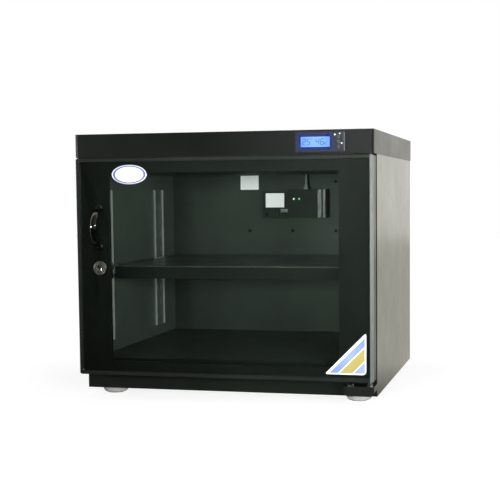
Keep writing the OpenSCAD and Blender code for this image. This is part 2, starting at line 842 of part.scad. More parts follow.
// Upper hinge bracket: a plate on the cover's inner flange
plate_w = 34;
plate_back = 4;
plate_x1 = case_w - sheet - fit;
plate_x0 = plate_x1 - plate_w;
plate_y0 = sheet + fit;
plate_y1 = body_y0 - plate_back;
plate_z0 = body_z1 + sheet;
plate_screw_in = 6;
plate_screw_pitch = 12;
plate_screw_x = [plate_x0 + plate_screw_in, plate_x0 + plate_screw_in + plate_screw_pitch];
plate_screw_y = plate_y1 - plate_screw_in;

module hinge_bracket_upper() {
  color("#8d9094") placed() difference() {
    block([plate_x0, plate_x1 - cover_r], [plate_y0 + cover_r, plate_y1], [plate_z0, plate_z0 + bracket_t]);
    rod_z(hinge_x, hinge_y, [plate_z0 - over, plate_z0 + bracket_t + over], pin_r + fit / 2);
    for (x = plate_screw_x) rod_z(x, plate_screw_y, [plate_z0 - over, plate_z0 + bracket_t + over],
      screw_r + fit);
  }
}

// Hinge pins: each has a hexagonal head on its bracket
bush_flange_t = 1;

module hinge_pins() {
  color("#c4c7ca") placed() {
    rod_z(hinge_x, hinge_y, [bracket_z1 - bracket_t - pin_down, door_z0 + bush_h - bush_flange_t], pin_r);
    translate([hinge_x, hinge_y, bracket_z1]) cylinder(h = nut_h, r = nut_r, $fn = 6);
    rod_z(hinge_x, hinge_y, [door_z1 - bush_h + bush_flange_t, plate_z0 + bracket_t], pin_r);
    translate([hinge_x, hinge_y, plate_z0 + bracket_t]) cylinder(h = nut_h, r = nut_r, $fn = 6);
  }
}

module hinge_screws() {
  color("#c4c7ca") placed() {
    for (x = leg_screw_x) screw_front(x, bracket_y1 - bracket_t, leg_screw_z, screw_len);
    for (x = plate_screw_x) translate([x, plate_screw_y, plate_z0 + bracket_t]) rotate([-90, 0, 0])
      screw_front(0, 0, 0, bracket_t + sheet);
    rod_z(bolt_x, hinge_y, [bracket_z1, bracket_z1 + bolt_head_h], bolt_head_r);
    rod_z(bolt_x, hinge_y, [bracket_z1 - bracket_t - nut_h - bolt_end, bracket_z1 + bolt_head_h / 2],
      bolt_r);
    translate([bolt_x, hinge_y, bracket_z1 - bracket_t - nut_h]) cylinder(h = nut_h, r = nut_r, $fn = 6);
  }
}

// Feet: a chromed cup, a rubber pad and a screw each
foot_screw_r = 2.5;
foot_nut_t = 3;
foot_nut_r = 5;
foot_wall = 2;
foot_pad_out = 1;
foot_edge = 1.5;

module at_feet() {
  for (x = [body_x0 + foot_in, body_x1 - foot_in], y = [body_y0 + foot_in, rear_y0 - foot_in])
    translate([x, y, 0]) children();
}

module foot_cups() {
  color("#c9ccd0") placed() at_feet() difference() {
    union() {
      rod_z(0, 0, [foot_edge + foot_pad_out - foot_h, 0], foot_r);
      rod_z(0, 0, [foot_pad_out - foot_h, 0], foot_r - foot_edge);
      translate([0, 0, foot_edge + foot_pad_out - foot_h]) rotate_extrude($fn = round_fn)
        translate([foot_r - foot_edge, 0]) circle(r = foot_edge, $fn = round_fn);
    }
    rod_z(0, 0, [foot_pad_out - foot_h - over, -foot_wall], foot_r - foot_edge - foot_wall);
    rod_z(0, 0, [-foot_wall - over, over], foot_screw_r + fit);
  }
}

module foot_pads() {
  color("#1a1a1a") placed() at_feet() difference() {
    rod_z(0, 0, [-foot_h, -foot_wall], foot_r - foot_edge - foot_wall - fit);
    rod_z(0, 0, [-foot_wall - foot_nut_t, over], foot_nut_r + fit);
  }
}

module foot_screws() {
  color("#a4a7aa") placed() at_feet() {
    rod_z(0, 0, [-foot_wall - foot_nut_t + fit, sheet + foot_nut_t], foot_screw_r);
    rod_z(0, 0, [-foot_wall - foot_nut_t + fit, -foot_wall], foot_nut_r);
    translate([0, 0, sheet]) cylinder(h = foot_nut_t, r = foot_nut_r, $fn = 6);
  }
}

// Door pan: a front web with the window, an outer rim, an inner rim and a rear flange
module door_plate(gap, y, r) {
  slab_y([body_x0 + gap, body_x1 - gap], y, [door_z0 + gap, door_z1 - gap], r);
}

module window_cut(y, grow) {
  block([window_x0 - grow, window_x1 + grow], y, [window_z0 - grow, window_z1 + grow]);
}

module door_pan() {
  color("#0f1012") placed() difference() {
    door_plate(0, [trim_t, door_t], door_r);
    window_cut([trim_t - over, door_t + over], 0);
    difference() {
      door_plate(pan_sheet, [trim_t + pan_sheet, door_t - pan_sheet], door_r - pan_sheet);
      window_cut([trim_t, door_t], pan_sheet);
    }
    difference() {
      door_plate(pan_flange, [door_t - pan_sheet - over, door_t + over], door_r);
      window_cut([trim_t, door_t + 2 * over], pan_sheet);
    }
    window_cut([trim_t + window_fold, door_t + over], pan_sheet + over);
    for (z = [door_z0, door_z1])
      rod_z(hinge_x, hinge_y, [z - pan_sheet - over, z + pan_sheet + over],
        pin_r + pin_clear + bush_wall + fit / 2);
    at_pull() rod_y(0, [trim_t - over, trim_t + pan_sheet + over], 0, pull_screw_r + fit);
    rod_y(pull_x, [trim_t - over, trim_t + pan_sheet + over], lock_z, lock_r + fit);
  }
}

module door_trim() {
  color("#26282a") placed() difference() {
    door_plate(0, [0, trim_t], door_r);
    slab_y([body_x0 + trim_w, body_x1 - trim_w], [-over, trim_t + over], [door_z0 + trim_w,
      door_z1 - trim_w], door_r);
  }
}

module door_glass() {
  color("#1c2422", 0.45) placed() difference() {
    slab_y([body_x0 + trim_w + fit, body_x1 - trim_w - fit], [glass_y0, trim_t],
      [door_z0 + trim_w + fit, door_z1 - trim_w - fit], door_r - fit);
    at_pull() rod_y(0, [-over, trim_t + over], 0, pull_screw_r + fit);
    rod_y(pull_x, [-over, trim_t + over], lock_z, lock_r + fit);
  }
}

// Seal: a base strip and a bulb around the doorway
seal_base_t = 2;
seal_bulb_w = 8;

module seal_ring(inset, w, y) {
  difference() {
    slab_y([body_x0 + inset, body_x1 - inset], y, [door_z0 + inset, door_z1 - inset], door_r);
    slab_y([body_x0 + inset + w, body_x1 - inset - w], [y[0] - over, y[1] + over],
      [door_z0 + inset + w, door_z1 - inset - w], door_r);
  }
}

module door_seal() {
  color("#0b0b0c") placed() {
    seal_ring(seal_inset, seal_w, [door_t, door_t + seal_base_t]);
    seal_ring(seal_inset + (seal_w - seal_bulb_w) / 2, seal_bulb_w, [door_t + seal_base_t,
      door_t + seal_t]);
  }
}

// Bushes of the door, each with a flange outside the door's edge
module bush(z, up) {
  difference() {
    union() {
      rod_z(hinge_x, hinge_y, [min(z, z + up * bush_h), max(z, z + up * bush_h)],
        pin_r + pin_clear + bush_wall);
      rod_z(hinge_x, hinge_y, [min(z, z - up * bush_flange_t), max(z, z - up * bush_flange_t)],
        pin_r + pin_clear + bush_wall + bush_flange_t);
    }
    rod_z(hinge_x, hinge_y, [z - bush_h - over, z + bush_h + over], pin_r + pin_clear);
  }
}

module door_bushes() {
  color("#dfe0da") placed() {
    bush(door_z0, 1);
    bush(door_z1, -1);
  }
}

// Handle: a bow on two round feet
pull_screw_r = 2;
pull_screw_head_r = 4;
pull_screw_head_h = 2.4;
pull_thread_gap = 0.05;
pull_foot_r = 6;
pull_foot_cap = 1;
bow_rise = pull_out - pull_foot_h;
bow_r = (pull_pitch * pull_pitch / 4 + bow_rise * bow_rise) / (2 * bow_rise);
bow_angle = asin(pull_pitch / 2 / bow_r);

module at_pull() {
  for (z = [pull_z - pull_pitch / 2, pull_z + pull_pitch / 2]) translate([pull_x, 0, z]) children();
}

module handle() {
  color("#4b4d50") placed() {
    difference() {
      union() {
        translate([pull_x, glass_y0 - pull_out + bow_r, pull_z]) rotate([0, 90, 0])
          rotate([0, 0, -90 - bow_angle])
          rotate_extrude(angle = 2 * bow_angle, $fn = 4 * round_fn)
            translate([bow_r - pull_t / 2, -pull_w / 2]) square([pull_t, pull_w]);
        at_pull() rod_y(0, [glass_y0 - pull_foot_h, glass_y0], 0, pull_foot_r);
      }
      at_pull() rod_y(0, [glass_y0 - pull_foot_h + pull_foot_cap, glass_y0 + over], 0,
        pull_screw_r + pull_thread_gap);
    }
  }
}

module handle_screws() {
  color("#b9bcc0") placed() at_pull() {
    rod_y(0, [glass_y0 - pull_foot_h + pull_foot_cap + fit, trim_t + pan_sheet + pull_screw_head_h / 2],
      0, pull_screw_r);
    rod_y(0, [trim_t + pan_sheet, trim_t + pan_sheet + pull_screw_head_h], 0, pull_screw_head_r);
  }
}

// Lock: barrel with its rosette, nut, plug and cam
cam_gap = 0.8;
cam_y0 = body_y0 + sheet + cam_gap;
barrel_end = 1.5;
lock_nut_t = 5;
lock_nut_r = 13;
plug_gap = 0.1;
plug_proud = 0.6;
key_w = 1.2;
key_h = 7;
key_deep = 8;

module lock_barrel() {
  color("#c8cac6") placed() difference() {
    union() {
      rod_y(pull_x, [glass_y0 - lock_ring_h, glass_y0], lock_z, lock_ring_r);
      rod_y(pull_x, [glass_y0 - lock_ring_h / 2, cam_y0 - barrel_end], lock_z, lock_r);
    }
    rod_y(pull_x, [-lock_ring_h - over, cam_y0], lock_z, plug_r + plug_gap);
  }
}

module lock_nut() {
  color("#a4a7aa") placed() difference() {
    translate([pull_x, trim_t + pan_sheet, lock_z]) rotate([-90, 0, 0])
      cylinder(h = lock_nut_t, r = lock_nut_r, $fn = 6);
    rod_y(pull_x, [trim_t + pan_sheet - over, trim_t + pan_sheet + lock_nut_t + over], lock_z,
      lock_r + fit / 2);
  }
}

module lock_plug() {
  color("#d5d6d0") placed() difference() {
    rod_y(pull_x, [glass_y0 - lock_ring_h - plug_proud, cam_y0], lock_z, plug_r);
    block([pull_x - key_w / 2, pull_x + key_w / 2], [glass_y0 - lock_ring_h - plug_proud - over, key_deep],
      [lock_z - key_h / 2, lock_z + key_h / 2]);
  }
}

// Cam with its screw, pointing down when the lock is open
module lock_cam() {
  color("#aeb1b3") placed() {
    slab_y([pull_x - cam_w / 2, pull_x + cam_w / 2], [cam_y0, cam_y0 + cam_t],
      [lock_z - cam_reach, lock_z + cam_w / 2], cam_r);
    rod_y(pull_x, [cam_y0 + cam_t, cam_y0 + cam_t + screw_head_h], lock_z, screw_head_r);
  }
}

cam_r = 3;

// Labels on the glass
oval_w = 58;
oval_h = 30;
oval_in = 84;
oval_drop = 5;
corner_side = 64;
corner_in = 5.5;
corner_r = 6;
corner_edge_r = 1.5;

module oval_label() {
  color("#f4f4f8") placed()
    translate([body_x0 + trim_w + oval_in, glass_y0, door_z1 - trim_w - oval_drop - oval_h / 2])
      rotate([90, 0, 0]) scale([oval_w / oval_h, 1, 1]) cylinder(h = label_t, r = oval_h / 2, $fn = 64);
}

module corner_label() {
  color("#cfe0f4") placed()
    translate([body_x1 - trim_w - corner_in, glass_y0, door_z0 + trim_w + corner_in]) rotate([90, 0, 0])
      hull() {
      translate([-corner_r, corner_r, 0]) cylinder(h = label_t, r = corner_r, $fn = 32);
      translate([-corner_edge_r, corner_side - 2 * corner_edge_r, 0])
        cylinder(h = label_t, r = corner_edge_r, $fn = 32);
      translate([2 * corner_edge_r - corner_side, corner_edge_r, 0])
        cylinder(h = label_t, r = corner_edge_r, $fn = 32);
    }
}

side_panel_left();
side_panel_right();
bottom_plate();
front_frame();
liner_left();
liner_right();
liner_floor();
liner_ceiling();
liner_back();
back_panel();
back_screws();
top_cover();
display_bezel();
lcd_screen();
display_board();
status_led();
button_set();
button_up();
button_down();
standard_front_left();
standard_front_right();
standard_rear_left();
standard_rear_right();
standard_screws();
shelf_clips();
wall_screws();
shelf_tray();
unit_housing();
unit_side_box();
unit_trims();
unit_leds();
desiccant_block();
unit_cable();
cable_gland();
unit_label();
wall_label();
power_inlet();
inlet_nut();
hinge_bracket_lower();
hinge_bracket_upper();
hinge_pins();
hinge_screws();
foot_cups();
foot_pads();
foot_screws();
door_pan();
door_trim();
door_glass();
door_seal();
door_bushes();
handle();
handle_screws();
lock_barrel();
lock_nut();
oval_label();
corner_label();
lock_plug();
lock_cam();
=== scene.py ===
"""Camera dry cabinet: materials, fine parts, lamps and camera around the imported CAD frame."""

import bmesh
import bpy
import math
from mathutils import Matrix, Vector


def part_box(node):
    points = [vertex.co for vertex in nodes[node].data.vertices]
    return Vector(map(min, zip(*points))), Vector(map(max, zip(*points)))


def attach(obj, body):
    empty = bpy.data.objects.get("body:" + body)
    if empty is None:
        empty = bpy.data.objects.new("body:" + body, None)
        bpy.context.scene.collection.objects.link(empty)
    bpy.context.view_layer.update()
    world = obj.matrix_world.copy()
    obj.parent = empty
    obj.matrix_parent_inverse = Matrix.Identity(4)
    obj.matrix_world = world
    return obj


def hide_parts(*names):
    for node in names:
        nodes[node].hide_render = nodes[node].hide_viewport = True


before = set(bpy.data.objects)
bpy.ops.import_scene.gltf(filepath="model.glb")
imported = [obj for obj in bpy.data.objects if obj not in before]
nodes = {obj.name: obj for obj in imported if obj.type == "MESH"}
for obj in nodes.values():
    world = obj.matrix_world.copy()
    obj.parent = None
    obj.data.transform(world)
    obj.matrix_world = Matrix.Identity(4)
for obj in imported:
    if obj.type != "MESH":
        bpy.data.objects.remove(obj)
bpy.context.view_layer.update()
MM = 0.001

# ---------------------------------------------------------------- Camera
VIEW_FROM = (0.500, -1.86125, 0.327)
VIEW_YAW = math.radians(-13.27)
VIEW_PITCH = math.radians(4.31)
VIEW_ROLL = math.radians(-0.45)
FOCAL_PIXELS = 1113.7
CENTRE_X, CENTRE_Y = 290.0, 277.0
PICTURE = 500.0
SENSOR = 36.0


def add_camera():
    data = bpy.data.cameras.new("main_camera")
    data.sensor_width = SENSOR
    data.lens = FOCAL_PIXELS / PICTURE * SENSOR
    data.shift_x = (PICTURE / 2 - CENTRE_X) / PICTURE
    data.shift_y = (CENTRE_Y - PICTURE / 2) / PICTURE
    data.clip_start, data.clip_end = 0.05, 50
    cam = bpy.data.objects.new("main_camera", data)
    turn = (
        Matrix.Rotation(-VIEW_YAW, 3, "Z")
        @ Matrix.Rotation(math.pi / 2 - VIEW_PITCH, 3, "X")
        @ Matrix.Rotation(VIEW_ROLL, 3, "Z")
    )
    cam.matrix_world = Matrix.Translation(VIEW_FROM) @ turn.to_4x4()
    bpy.context.scene.collection.objects.link(cam)
    bpy.context.scene.camera = cam


add_camera()


# ---------------------------------------------------------------- Node graphs
class Graph:
    """A material under construction: adds nodes and links them."""

    def __init__(self, name):
        self.mat = bpy.data.materials.new(name)
        self.mat.use_nodes = True
        self.tree = self.mat.node_tree
        self.tree.nodes.clear()
        self.out = self.add("ShaderNodeOutputMaterial")
        self.place = None

    def add(self, kind, inputs=None, **props):
        n = self.tree.nodes.new(kind)
        for k, v in props.items():
            setattr(n, k, v)
        for k, v in (inputs or {}).items():
            self.set(n.inputs[k], v)
        return n

    def set(self, socket, value):
        if isinstance(value, bpy.types.NodeSocket):
            self.tree.links.new(value, socket)
        elif isinstance(value, (tuple, list)) and len(value) == 3 and socket.type == "RGBA":
            socket.default_value = (*value, 1)
        else:
            socket.default_value = value

    def coords(self, stretch=(1, 1, 1)):
        if self.place is None:
            self.place = self.add("ShaderNodeTexCoord").outputs["Object"]
        if stretch == (1, 1, 1):
            return self.place
        return self.add("ShaderNodeMapping", {"Vector": self.place, "Scale": stretch}).outputs[0]

    def noise(self, scale, detail=3, rough=0.55, stretch=(1, 1, 1)):
        n = self.add(
            "ShaderNodeTexNoise",
            {"Vector": self.coords(stretch), "Scale": scale, "Detail": detail, "Roughness": rough},
        )
        return n.outputs[0]

    def remap(self, value, low, high, to_low, to_high):
        n = self.add(
            "ShaderNodeMapRange",
            {"Value": value, "From Min": low, "From Max": high, "To Min": to_low, "To Max": to_high},
        )
        return n.outputs[0]

    def math(self, operation, a, b=0.0, clamp=False):
        n = self.add("ShaderNodeMath", operation=operation, use_clamp=clamp)
        self.set(n.inputs[0], a)
        self.set(n.inputs[1], b)
        return n.outputs[0]

    def blend(self, share, a, b):
        n = self.add("ShaderNodeMix", data_type="RGBA")
        self.set(n.inputs[0], share)
        self.set(n.inputs[6], a)
        self.set(n.inputs[7], b)
        return n.outputs[2]

    def bump(self, height, strength, distance, normal=None):
        n = self.add("ShaderNodeBump", {"Height": height, "Strength": strength, "Distance": distance})
        if normal is not None:
            self.set(n.inputs["Normal"], normal)
        return n.outputs[0]

    def edges(self, radius):
        """1 on rounded-over edges, 0 on flat faces."""
        soft = self.add("ShaderNodeBevel", {"Radius": radius}, samples=4).outputs[0]
        true = self.add("ShaderNodeNewGeometry").outputs["Normal"]
        dot = self.add("ShaderNodeVectorMath", operation="DOT_PRODUCT")
        self.set(dot.inputs[0], soft)
        self.set(dot.inputs[1], true)
        return self.remap(dot.outputs["Value"], 0.995, 0.9, 0, 1)

    def surface(self, **inputs):
        bsdf = self.add("ShaderNodeBsdfPrincipled")
        for k, v in inputs.items():
            self.set(bsdf.inputs[k.replace("_", " ")], v)
        self.set(self.out.inputs["Surface"], bsdf.outputs[0])
        return self.mat


def shade(colour, factor):
    return tuple(min(1.0, c * factor) for c in colour)


# ---------------------------------------------------------------- Materials
def paint(name, colour, rough, wear=0.12, streaks=0.0, gloss=1.0, ends=(), grain=900, depth=0.00002):
    """Powder coat: fine orange peel, slow colour drift, handling smudges, paler worn edges.

    ends is (axis, from, to, colour, mirrored): another tone towards one end, or both; this script uses it only for
    painted highlights, painted reflections and painted shade.
    """
    g = Graph(name)
    drift = g.remap(g.noise(6, 4), 0.3, 0.7, 0, 1)
    base = g.blend(drift, shade(colour, 0.82), shade(colour, 1.18))
    if streaks:
        rub = g.remap(g.noise(9, 3, stretch=(1, 1, 0.12)), 0.45, 0.75, 0, streaks)
        base = g.blend(rub, base, shade(colour, 2.2))
    # painted light: a lighter or darker tone blended in along one axis
    if ends:
        axis, start, stop, other, mirrored = ends
        place = g.add("ShaderNodeSeparateXYZ", {"Vector": g.coords()}).outputs[axis]
        if mirrored:
            place = g.math("ABSOLUTE", place)
        base = g.blend(g.remap(place, start, stop, 0, 1), base, other)
    chips = g.remap(g.noise(220, 3), 0.45, 0.62, 0.25, 1)
    mask = g.math("MULTIPLY", g.edges(0.7 * MM), g.math("MULTIPLY", chips, wear))
    base = g.blend(mask, base, shade(colour, 4.0))
    smudge = g.remap(g.noise(14, 5, 0.65), 0.35, 0.7, -0.05, 0.07)
    speck = g.remap(g.noise(grain * 1.3, 2), 0.3, 0.7, -0.03, 0.03)
    roughness = g.math("ADD", rough, g.math("ADD", smudge, speck), clamp=True)
    peel = g.bump(g.noise(grain, 2, 0.5), 0.35, depth)
    wave = g.bump(g.noise(18, 2), 0.12, 0.0006, peel)
    return g.surface(
        Base_Color=base, Roughness=roughness, Normal=wave, IOR=1.5, Coat_Weight=gloss, Coat_Roughness=0.2
    )


def metal(name, colour, rough, brushed=(1, 1, 1), grain=260, depth=0.00003, metallic=1.0):
    """Plated or turned metal with fine lines along one way and faint staining."""
    g = Graph(name)
    stain = g.remap(g.noise(35, 5, 0.65), 0.35, 0.75, 0, 0.5)
    base = g.blend(stain, colour, shade(colour, 0.72))
    lines = g.noise(grain, 4, 0.6, brushed)
    roughness = g.math("ADD", g.remap(lines, 0.25, 0.75, rough * 0.75, rough * 1.3), 0.0, clamp=True)
    return g.surface(
        Base_Color=base, Metallic=metallic, Roughness=roughness, Normal=g.bump(lines, 0.25, depth)
    )


def plastic(name, colour, rough, grain=1200, depth=0.00005, soft=0.0, spread=0.12):
    """Moulded plastic: spark-eroded grain, slight tone drift and sheen changes."""
    g = Graph(name)
    drift = g.remap(g.noise(22, 4), 0.3, 0.7, 0, 1)
    base = g.blend(drift, shade(colour, 1 - spread), shade(colour, 1 + spread))
    roughness = g.remap(g.noise(60, 4, 0.6), 0.3, 0.7, rough - 0.05, rough + 0.06)
    extra = {"Subsurface_Weight": soft, "Subsurface_Scale": 0.002} if soft else {}
    return g.surface(
        Base_Color=base, Roughness=roughness, Normal=g.bump(g.noise(grain, 2), 0.3, depth), **extra
    )


def rubber(name, colour):
    g = Graph(name)
    bloom = g.remap(g.noise(40, 5, 0.7), 0.5, 0.8, 0, 0.5)
    base = g.blend(bloom, colour, shade(colour, 2.0))
    roughness = g.remap(g.noise(90, 4), 0.3, 0.7, 0.62, 0.82)
    return g.surface(Base_Color=base, Roughness=roughness, Normal=g.bump(g.noise(700, 3), 0.3, 0.00008))


def granules(name, colour):
    """Desiccant: packed beads."""
    g = Graph(name)
    beads = g.add("ShaderNodeTexVoronoi", {"Vector": g.coords(), "Scale": 420}).outputs["Distance"]
    # darker between the beads: painted shade in the gaps between them
    base = g.blend(g.remap(beads, 0.1, 0.6, 0, 1), colour, shade(colour, 0.45))
    return g.surface(
        Base_Color=base,
        Roughness=g.remap(beads, 0, 0.6, 0.55, 0.85),
        Normal=g.bump(g.math("SUBTRACT", 1, beads), 0.8, 0.0008),
    )


def circuit(name, colour):
    """Printed board: darker tracks in the lacquer."""
    g = Graph(name)
    tracks = g.add(
        "ShaderNodeTexBrick",
        {
            "Vector": g.coords(),
            "Scale": 160,
            "Mortar Size": 0.04,
            "Color1": colour,
            "Color2": shade(colour, 0.8),
            "Mortar": shade(colour, 1.8),
        },
    ).outputs[0]
    return g.surface(Base_Color=tracks, Roughness=g.remap(g.noise(300, 3), 0.3, 0.7, 0.3, 0.45))


def lamp(name, colour, glow, strength):
    """Lit lens: brighter core, paler skin."""
    g = Graph(name)
    core = g.remap(g.noise(500, 3), 0.3, 0.7, 0.8, 1.1)
    bsdf = g.add("ShaderNodeBsdfPrincipled", {"Base Color": colour, "Roughness": 0.2, "Emission Color": glow})
    g.set(bsdf.inputs["Emission Strength"], g.math("MULTIPLY", core, strength))
    g.set(g.out.inputs["Surface"], bsdf.outputs[0])
    return g.mat


def pane(name, tint, rough):
    """Thin tinted glass: what is behind shows through, darker by the tint, under a mirror skin."""
    g = Graph(name)
    wipe = g.remap(g.noise(5, 4, 0.6), 0.35, 0.75, 0.97, 1.0)
    clear = g.add("ShaderNodeBsdfTransparent")
    g.set(clear.inputs["Color"], g.blend(wipe, shade(tint, 0.8), tint))
    film = g.remap(g.noise(30, 5, 0.7), 0.4, 0.8, rough, rough * 2.5)
    mirror = g.add("ShaderNodeBsdfGlossy", {"Color": (1, 1, 1), "Roughness": film})
    share = g.add("ShaderNodeFresnel", {"IOR": 1.45}).outputs[0]
    mix = g.add("ShaderNodeMixShader")
    g.set(mix.inputs[0], share)
    g.set(mix.inputs[1], clear.outputs[0])
    g.set(mix.inputs[2], mirror.outputs[0])
    g.set(g.out.inputs["Surface"], mix.outputs[0])
    return g.mat


def card(g, base):
    """Coated paper: fibre grain and a soft gloss."""
    fibre = g.noise(900, 4, 0.7)
    return g.surface(
        Base_Color=base,
        Roughness=g.remap(g.noise(120, 4), 0.3, 0.7, 0.32, 0.45),
        Normal=g.bump(fibre, 0.15, 0.00004),
        Coat_Weight=0.3,
        Coat_Roughness=0.15,
    )


def blank_label(name, colour):
    g = Graph(name)
    tone = g.remap(g.noise(60, 4), 0.3, 0.7, 0, 1)
    return card(g, g.blend(tone, shade(colour, 0.96), colour))


# ---------------------------------------------------------------- Palette
BLACK = (0.0060, 0.0076, 0.0060)
COVER = (0.0030, 0.0042, 0.0030)
# the cover is painted lighter towards its right end: a painted reflection of the brighter surroundings on that side
COVER_RIGHT_REFLECTION = ("X", -0.02, 0.22, (0.0085, 0.0090, 0.0088), False)
DOOR = (0.0075, 0.0100, 0.0078)
LINING = (0.0380, 0.0470, 0.0400)

body_paint = paint("satin_black_body", BLACK, 0.34, streaks=0.25)
cover_paint = paint("satin_black_cover", COVER, 0.38, gloss=0.3, ends=COVER_RIGHT_REFLECTION)
door_paint = paint("satin_black_door", DOOR, 0.40, gloss=0.35)
liner_paint = paint("dark_grey_lining", LINING, 0.55, wear=0.15, gloss=0.0)
# the floor and side walls use lighter copies of the same lining colour, two and three times brighter: painted light
# on those faces
floor_lining_lit = paint("lining_floor_lit", shade(LINING, 2.0), 0.50, wear=0.15, gloss=0.0)
side_lining_lit = paint("lining_side_lit", shade(LINING, 3.0), 0.50, wear=0.15, gloss=0.0)
# a lighter strip along the trim's right edge: a painted highlight where the rounded edge catches the light
TRIM_RIGHT_HIGHLIGHT = ("X", 0.2325, 0.2345, (0.13, 0.14, 0.134), False)
trim_paint = paint("semi_gloss_trim", (0.012, 0.015, 0.0125), 0.36, gloss=0.4, ends=TRIM_RIGHT_HIGHLIGHT)
# the standards' flange edges keep the pale base tone and the web against the wall is painted darker: a painted
# highlight on the edges against painted shade on the web
RAIL_WEB_SHADE = ("X", 0.2212, 0.2224, (0.14, 0.165, 0.147), True)
rail_paint = paint("grey_standard", (0.50, 0.55, 0.51), 0.45, wear=0.5, gloss=0.0, ends=RAIL_WEB_SHADE)
# the shelf's top face is painted much lighter than its lip: painted light on the top
SHELF_TOP_LIT = ("Z", 0.2088, 0.2100, (0.080, 0.094, 0.081), False)
shelf_paint = paint("dark_shelf", (0.0095, 0.0125, 0.0100), 0.40, wear=0.3, gloss=0.6, ends=SHELF_TOP_LIT)
bracket_paint = paint("bracket_black", (0.010, 0.012, 0.0105), 0.32)
zinc = metal("zinc_plate", (0.62, 0.63, 0.64), 0.30)
turned = metal("turned_steel", (0.72, 0.73, 0.74), 0.20, (1, 1, 6))
chrome = metal("satin_chrome", (0.92, 0.93, 0.92), 0.18, metallic=0.5)
nickel = metal("nickel_plate", (0.84, 0.81, 0.74), 0.22, (1, 8, 1))
pull_metal = metal("dark_plated_pull", (0.22, 0.22, 0.20), 0.08, (1, 1, 0.2))
button_plastic = plastic("button_moulding", (0.05, 0.052, 0.055), 0.35)
unit_plastic = plastic("unit_moulding", (0.020, 0.025, 0.022), 0.45, grain=1500, depth=0.00010)
white_plastic = plastic("white_moulding", (0.18, 0.20, 0.188), 0.28, soft=0.1, spread=0.05)
nylon = plastic("black_nylon", (0.02, 0.02, 0.02), 0.45, spread=0.1)
black_rubber = rubber("black_rubber", (0.012, 0.012, 0.013))
beads = granules("desiccant_beads", (0.70, 0.71, 0.66))
board = circuit("printed_board", (0.03, 0.16, 0.07))
glass = pane("tinted_glass", (0.955, 0.975, 0.960), 0.015)
plain_label = blank_label("blank_label", (0.96, 0.97, 0.96))
led_white = lamp("lit_led", (0.85, 1.0, 0.9), (0.75, 1.0, 0.85), 1.2)


def dress(material, *names):
    for n in names:
        mesh = nodes[n].data
        mesh.materials.clear()
        mesh.materials.append(material)


dress(body_paint, "side_panel_left", "side_panel_right", "bottom_plate", "back_panel")
dress(door_paint, "front_frame", "door_pan")
dress(cover_paint, "top_cover")
dress(liner_paint, "liner_ceiling", "liner_back")
dress(floor_lining_lit, "liner_floor")
dress(side_lining_lit, "liner_left", "liner_right")
dress(zinc, "back_screws", "standard_screws", "foot_screws", "handle_screws", "lock_nut", "inlet_nut")
dress(rail_paint, "standard_front_left", "standard_front_right", "standard_rear_left", "standard_rear_right")
dress(rail_paint, "shelf_clips")
dress(shelf_paint, "shelf_tray")
dress(pull_metal, "wall_screws")
dress(button_plastic, "button_set", "button_up", "button_down")
dress(board, "display_board")
dress(led_white, "status_led")
dress(unit_plastic, "unit_housing", "unit_side_box")
dress(white_plastic, "unit_trims", "cable_gland")
dress(beads, "desiccant_block")
cable_skin = rubber("grey_cable", (0.16, 0.18, 0.17))
dress(cable_skin, "unit_cable")
dress(black_rubber, "foot_pads", "door_seal", "power_inlet")
dress(plain_label, "unit_label", "wall_label")
dress(bracket_paint, "hinge_bracket_lower", "hinge_bracket_upper")
dress(turned, "hinge_pins", "hinge_screws", "lock_cam")
dress(chrome, "foot_cups")
dress(nickel, "lock_barrel", "lock_plug")
dress(pull_metal, "handle")
dress(trim_paint, "door_trim")
dress(glass, "door_glass")
dress(nylon, "door_bushes")


# ---------------------------------------------------------------- Printed and lit faces
def corner_print():
    """Triangle: white border, pale blue ground, one yellow band along the long side."""
    low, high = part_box("corner_label")
    side = high.x - low.x
    border, white_line = 2.2 * MM, 1.4 * MM
    band_low, band_high = 17 * MM, 31 * MM
    fade = 0.25 * MM
    g = Graph("corner_print")
    split = g.add("ShaderNodeSeparateXYZ", {"Vector": g.coords()})
    u = g.math("SUBTRACT", high.x, split.outputs["X"])
    v = g.math("SUBTRACT", split.outputs["Z"], low.z)
    across = g.math("DIVIDE", g.math("ADD", u, v), math.sqrt(2))
    edge = g.math("SUBTRACT", side / math.sqrt(2) - 0.2 * MM, across)
    near = g.math("MINIMUM", g.math("MINIMUM", u, v), edge)
    inside = g.remap(near, border - fade, border + fade, 0, 1)

    def within(low_edge, high_edge):
        up = g.remap(across, low_edge - fade, low_edge + fade, 0, 1)
        down = g.remap(across, high_edge - fade, high_edge + fade, 1, 0)
        return g.math("MULTIPLY", up, down)

    along = g.math("ABSOLUTE", g.math("SUBTRACT", u, v))
    tone = g.remap(along, 0, side, 0, 1)
    blue = g.blend(tone, (0.28, 0.36, 0.53), (0.13, 0.22, 0.47))
    yellow = g.blend(tone, (0.41, 0.34, 0.107), (0.435, 0.38, 0.14))
    ground = g.blend(within(band_low - white_line, band_high + white_line), blue, (0.93, 0.94, 0.97))
    ground = g.blend(within(band_low, band_high), ground, yellow)
    return card(g, g.blend(inside, (0.94, 0.94, 0.97), ground))


def oval_print():
    """Oval: white ground inside a plain blue rim line."""
    low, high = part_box("oval_label")
    mid = (low + high) / 2
    half_x, half_z = (high.x - low.x) / 2, (high.z - low.z) / 2
    g = Graph("oval_print")
    split = g.add("ShaderNodeSeparateXYZ", {"Vector": g.coords()})
    x = g.math("DIVIDE", g.math("SUBTRACT", split.outputs["X"], mid.x), half_x)
    z = g.math("DIVIDE", g.math("SUBTRACT", split.outputs["Z"], mid.z), half_z)
    reach = g.math("SQRT", g.math("ADD", g.math("MULTIPLY", x, x), g.math("MULTIPLY", z, z)))
    rim = g.math("MULTIPLY", g.remap(reach, 0.80, 0.83, 0, 1), g.remap(reach, 0.93, 0.95, 1, 0))
    return card(g, g.blend(rim, (0.92, 0.93, 0.97), (0.10, 0.13, 0.42)))


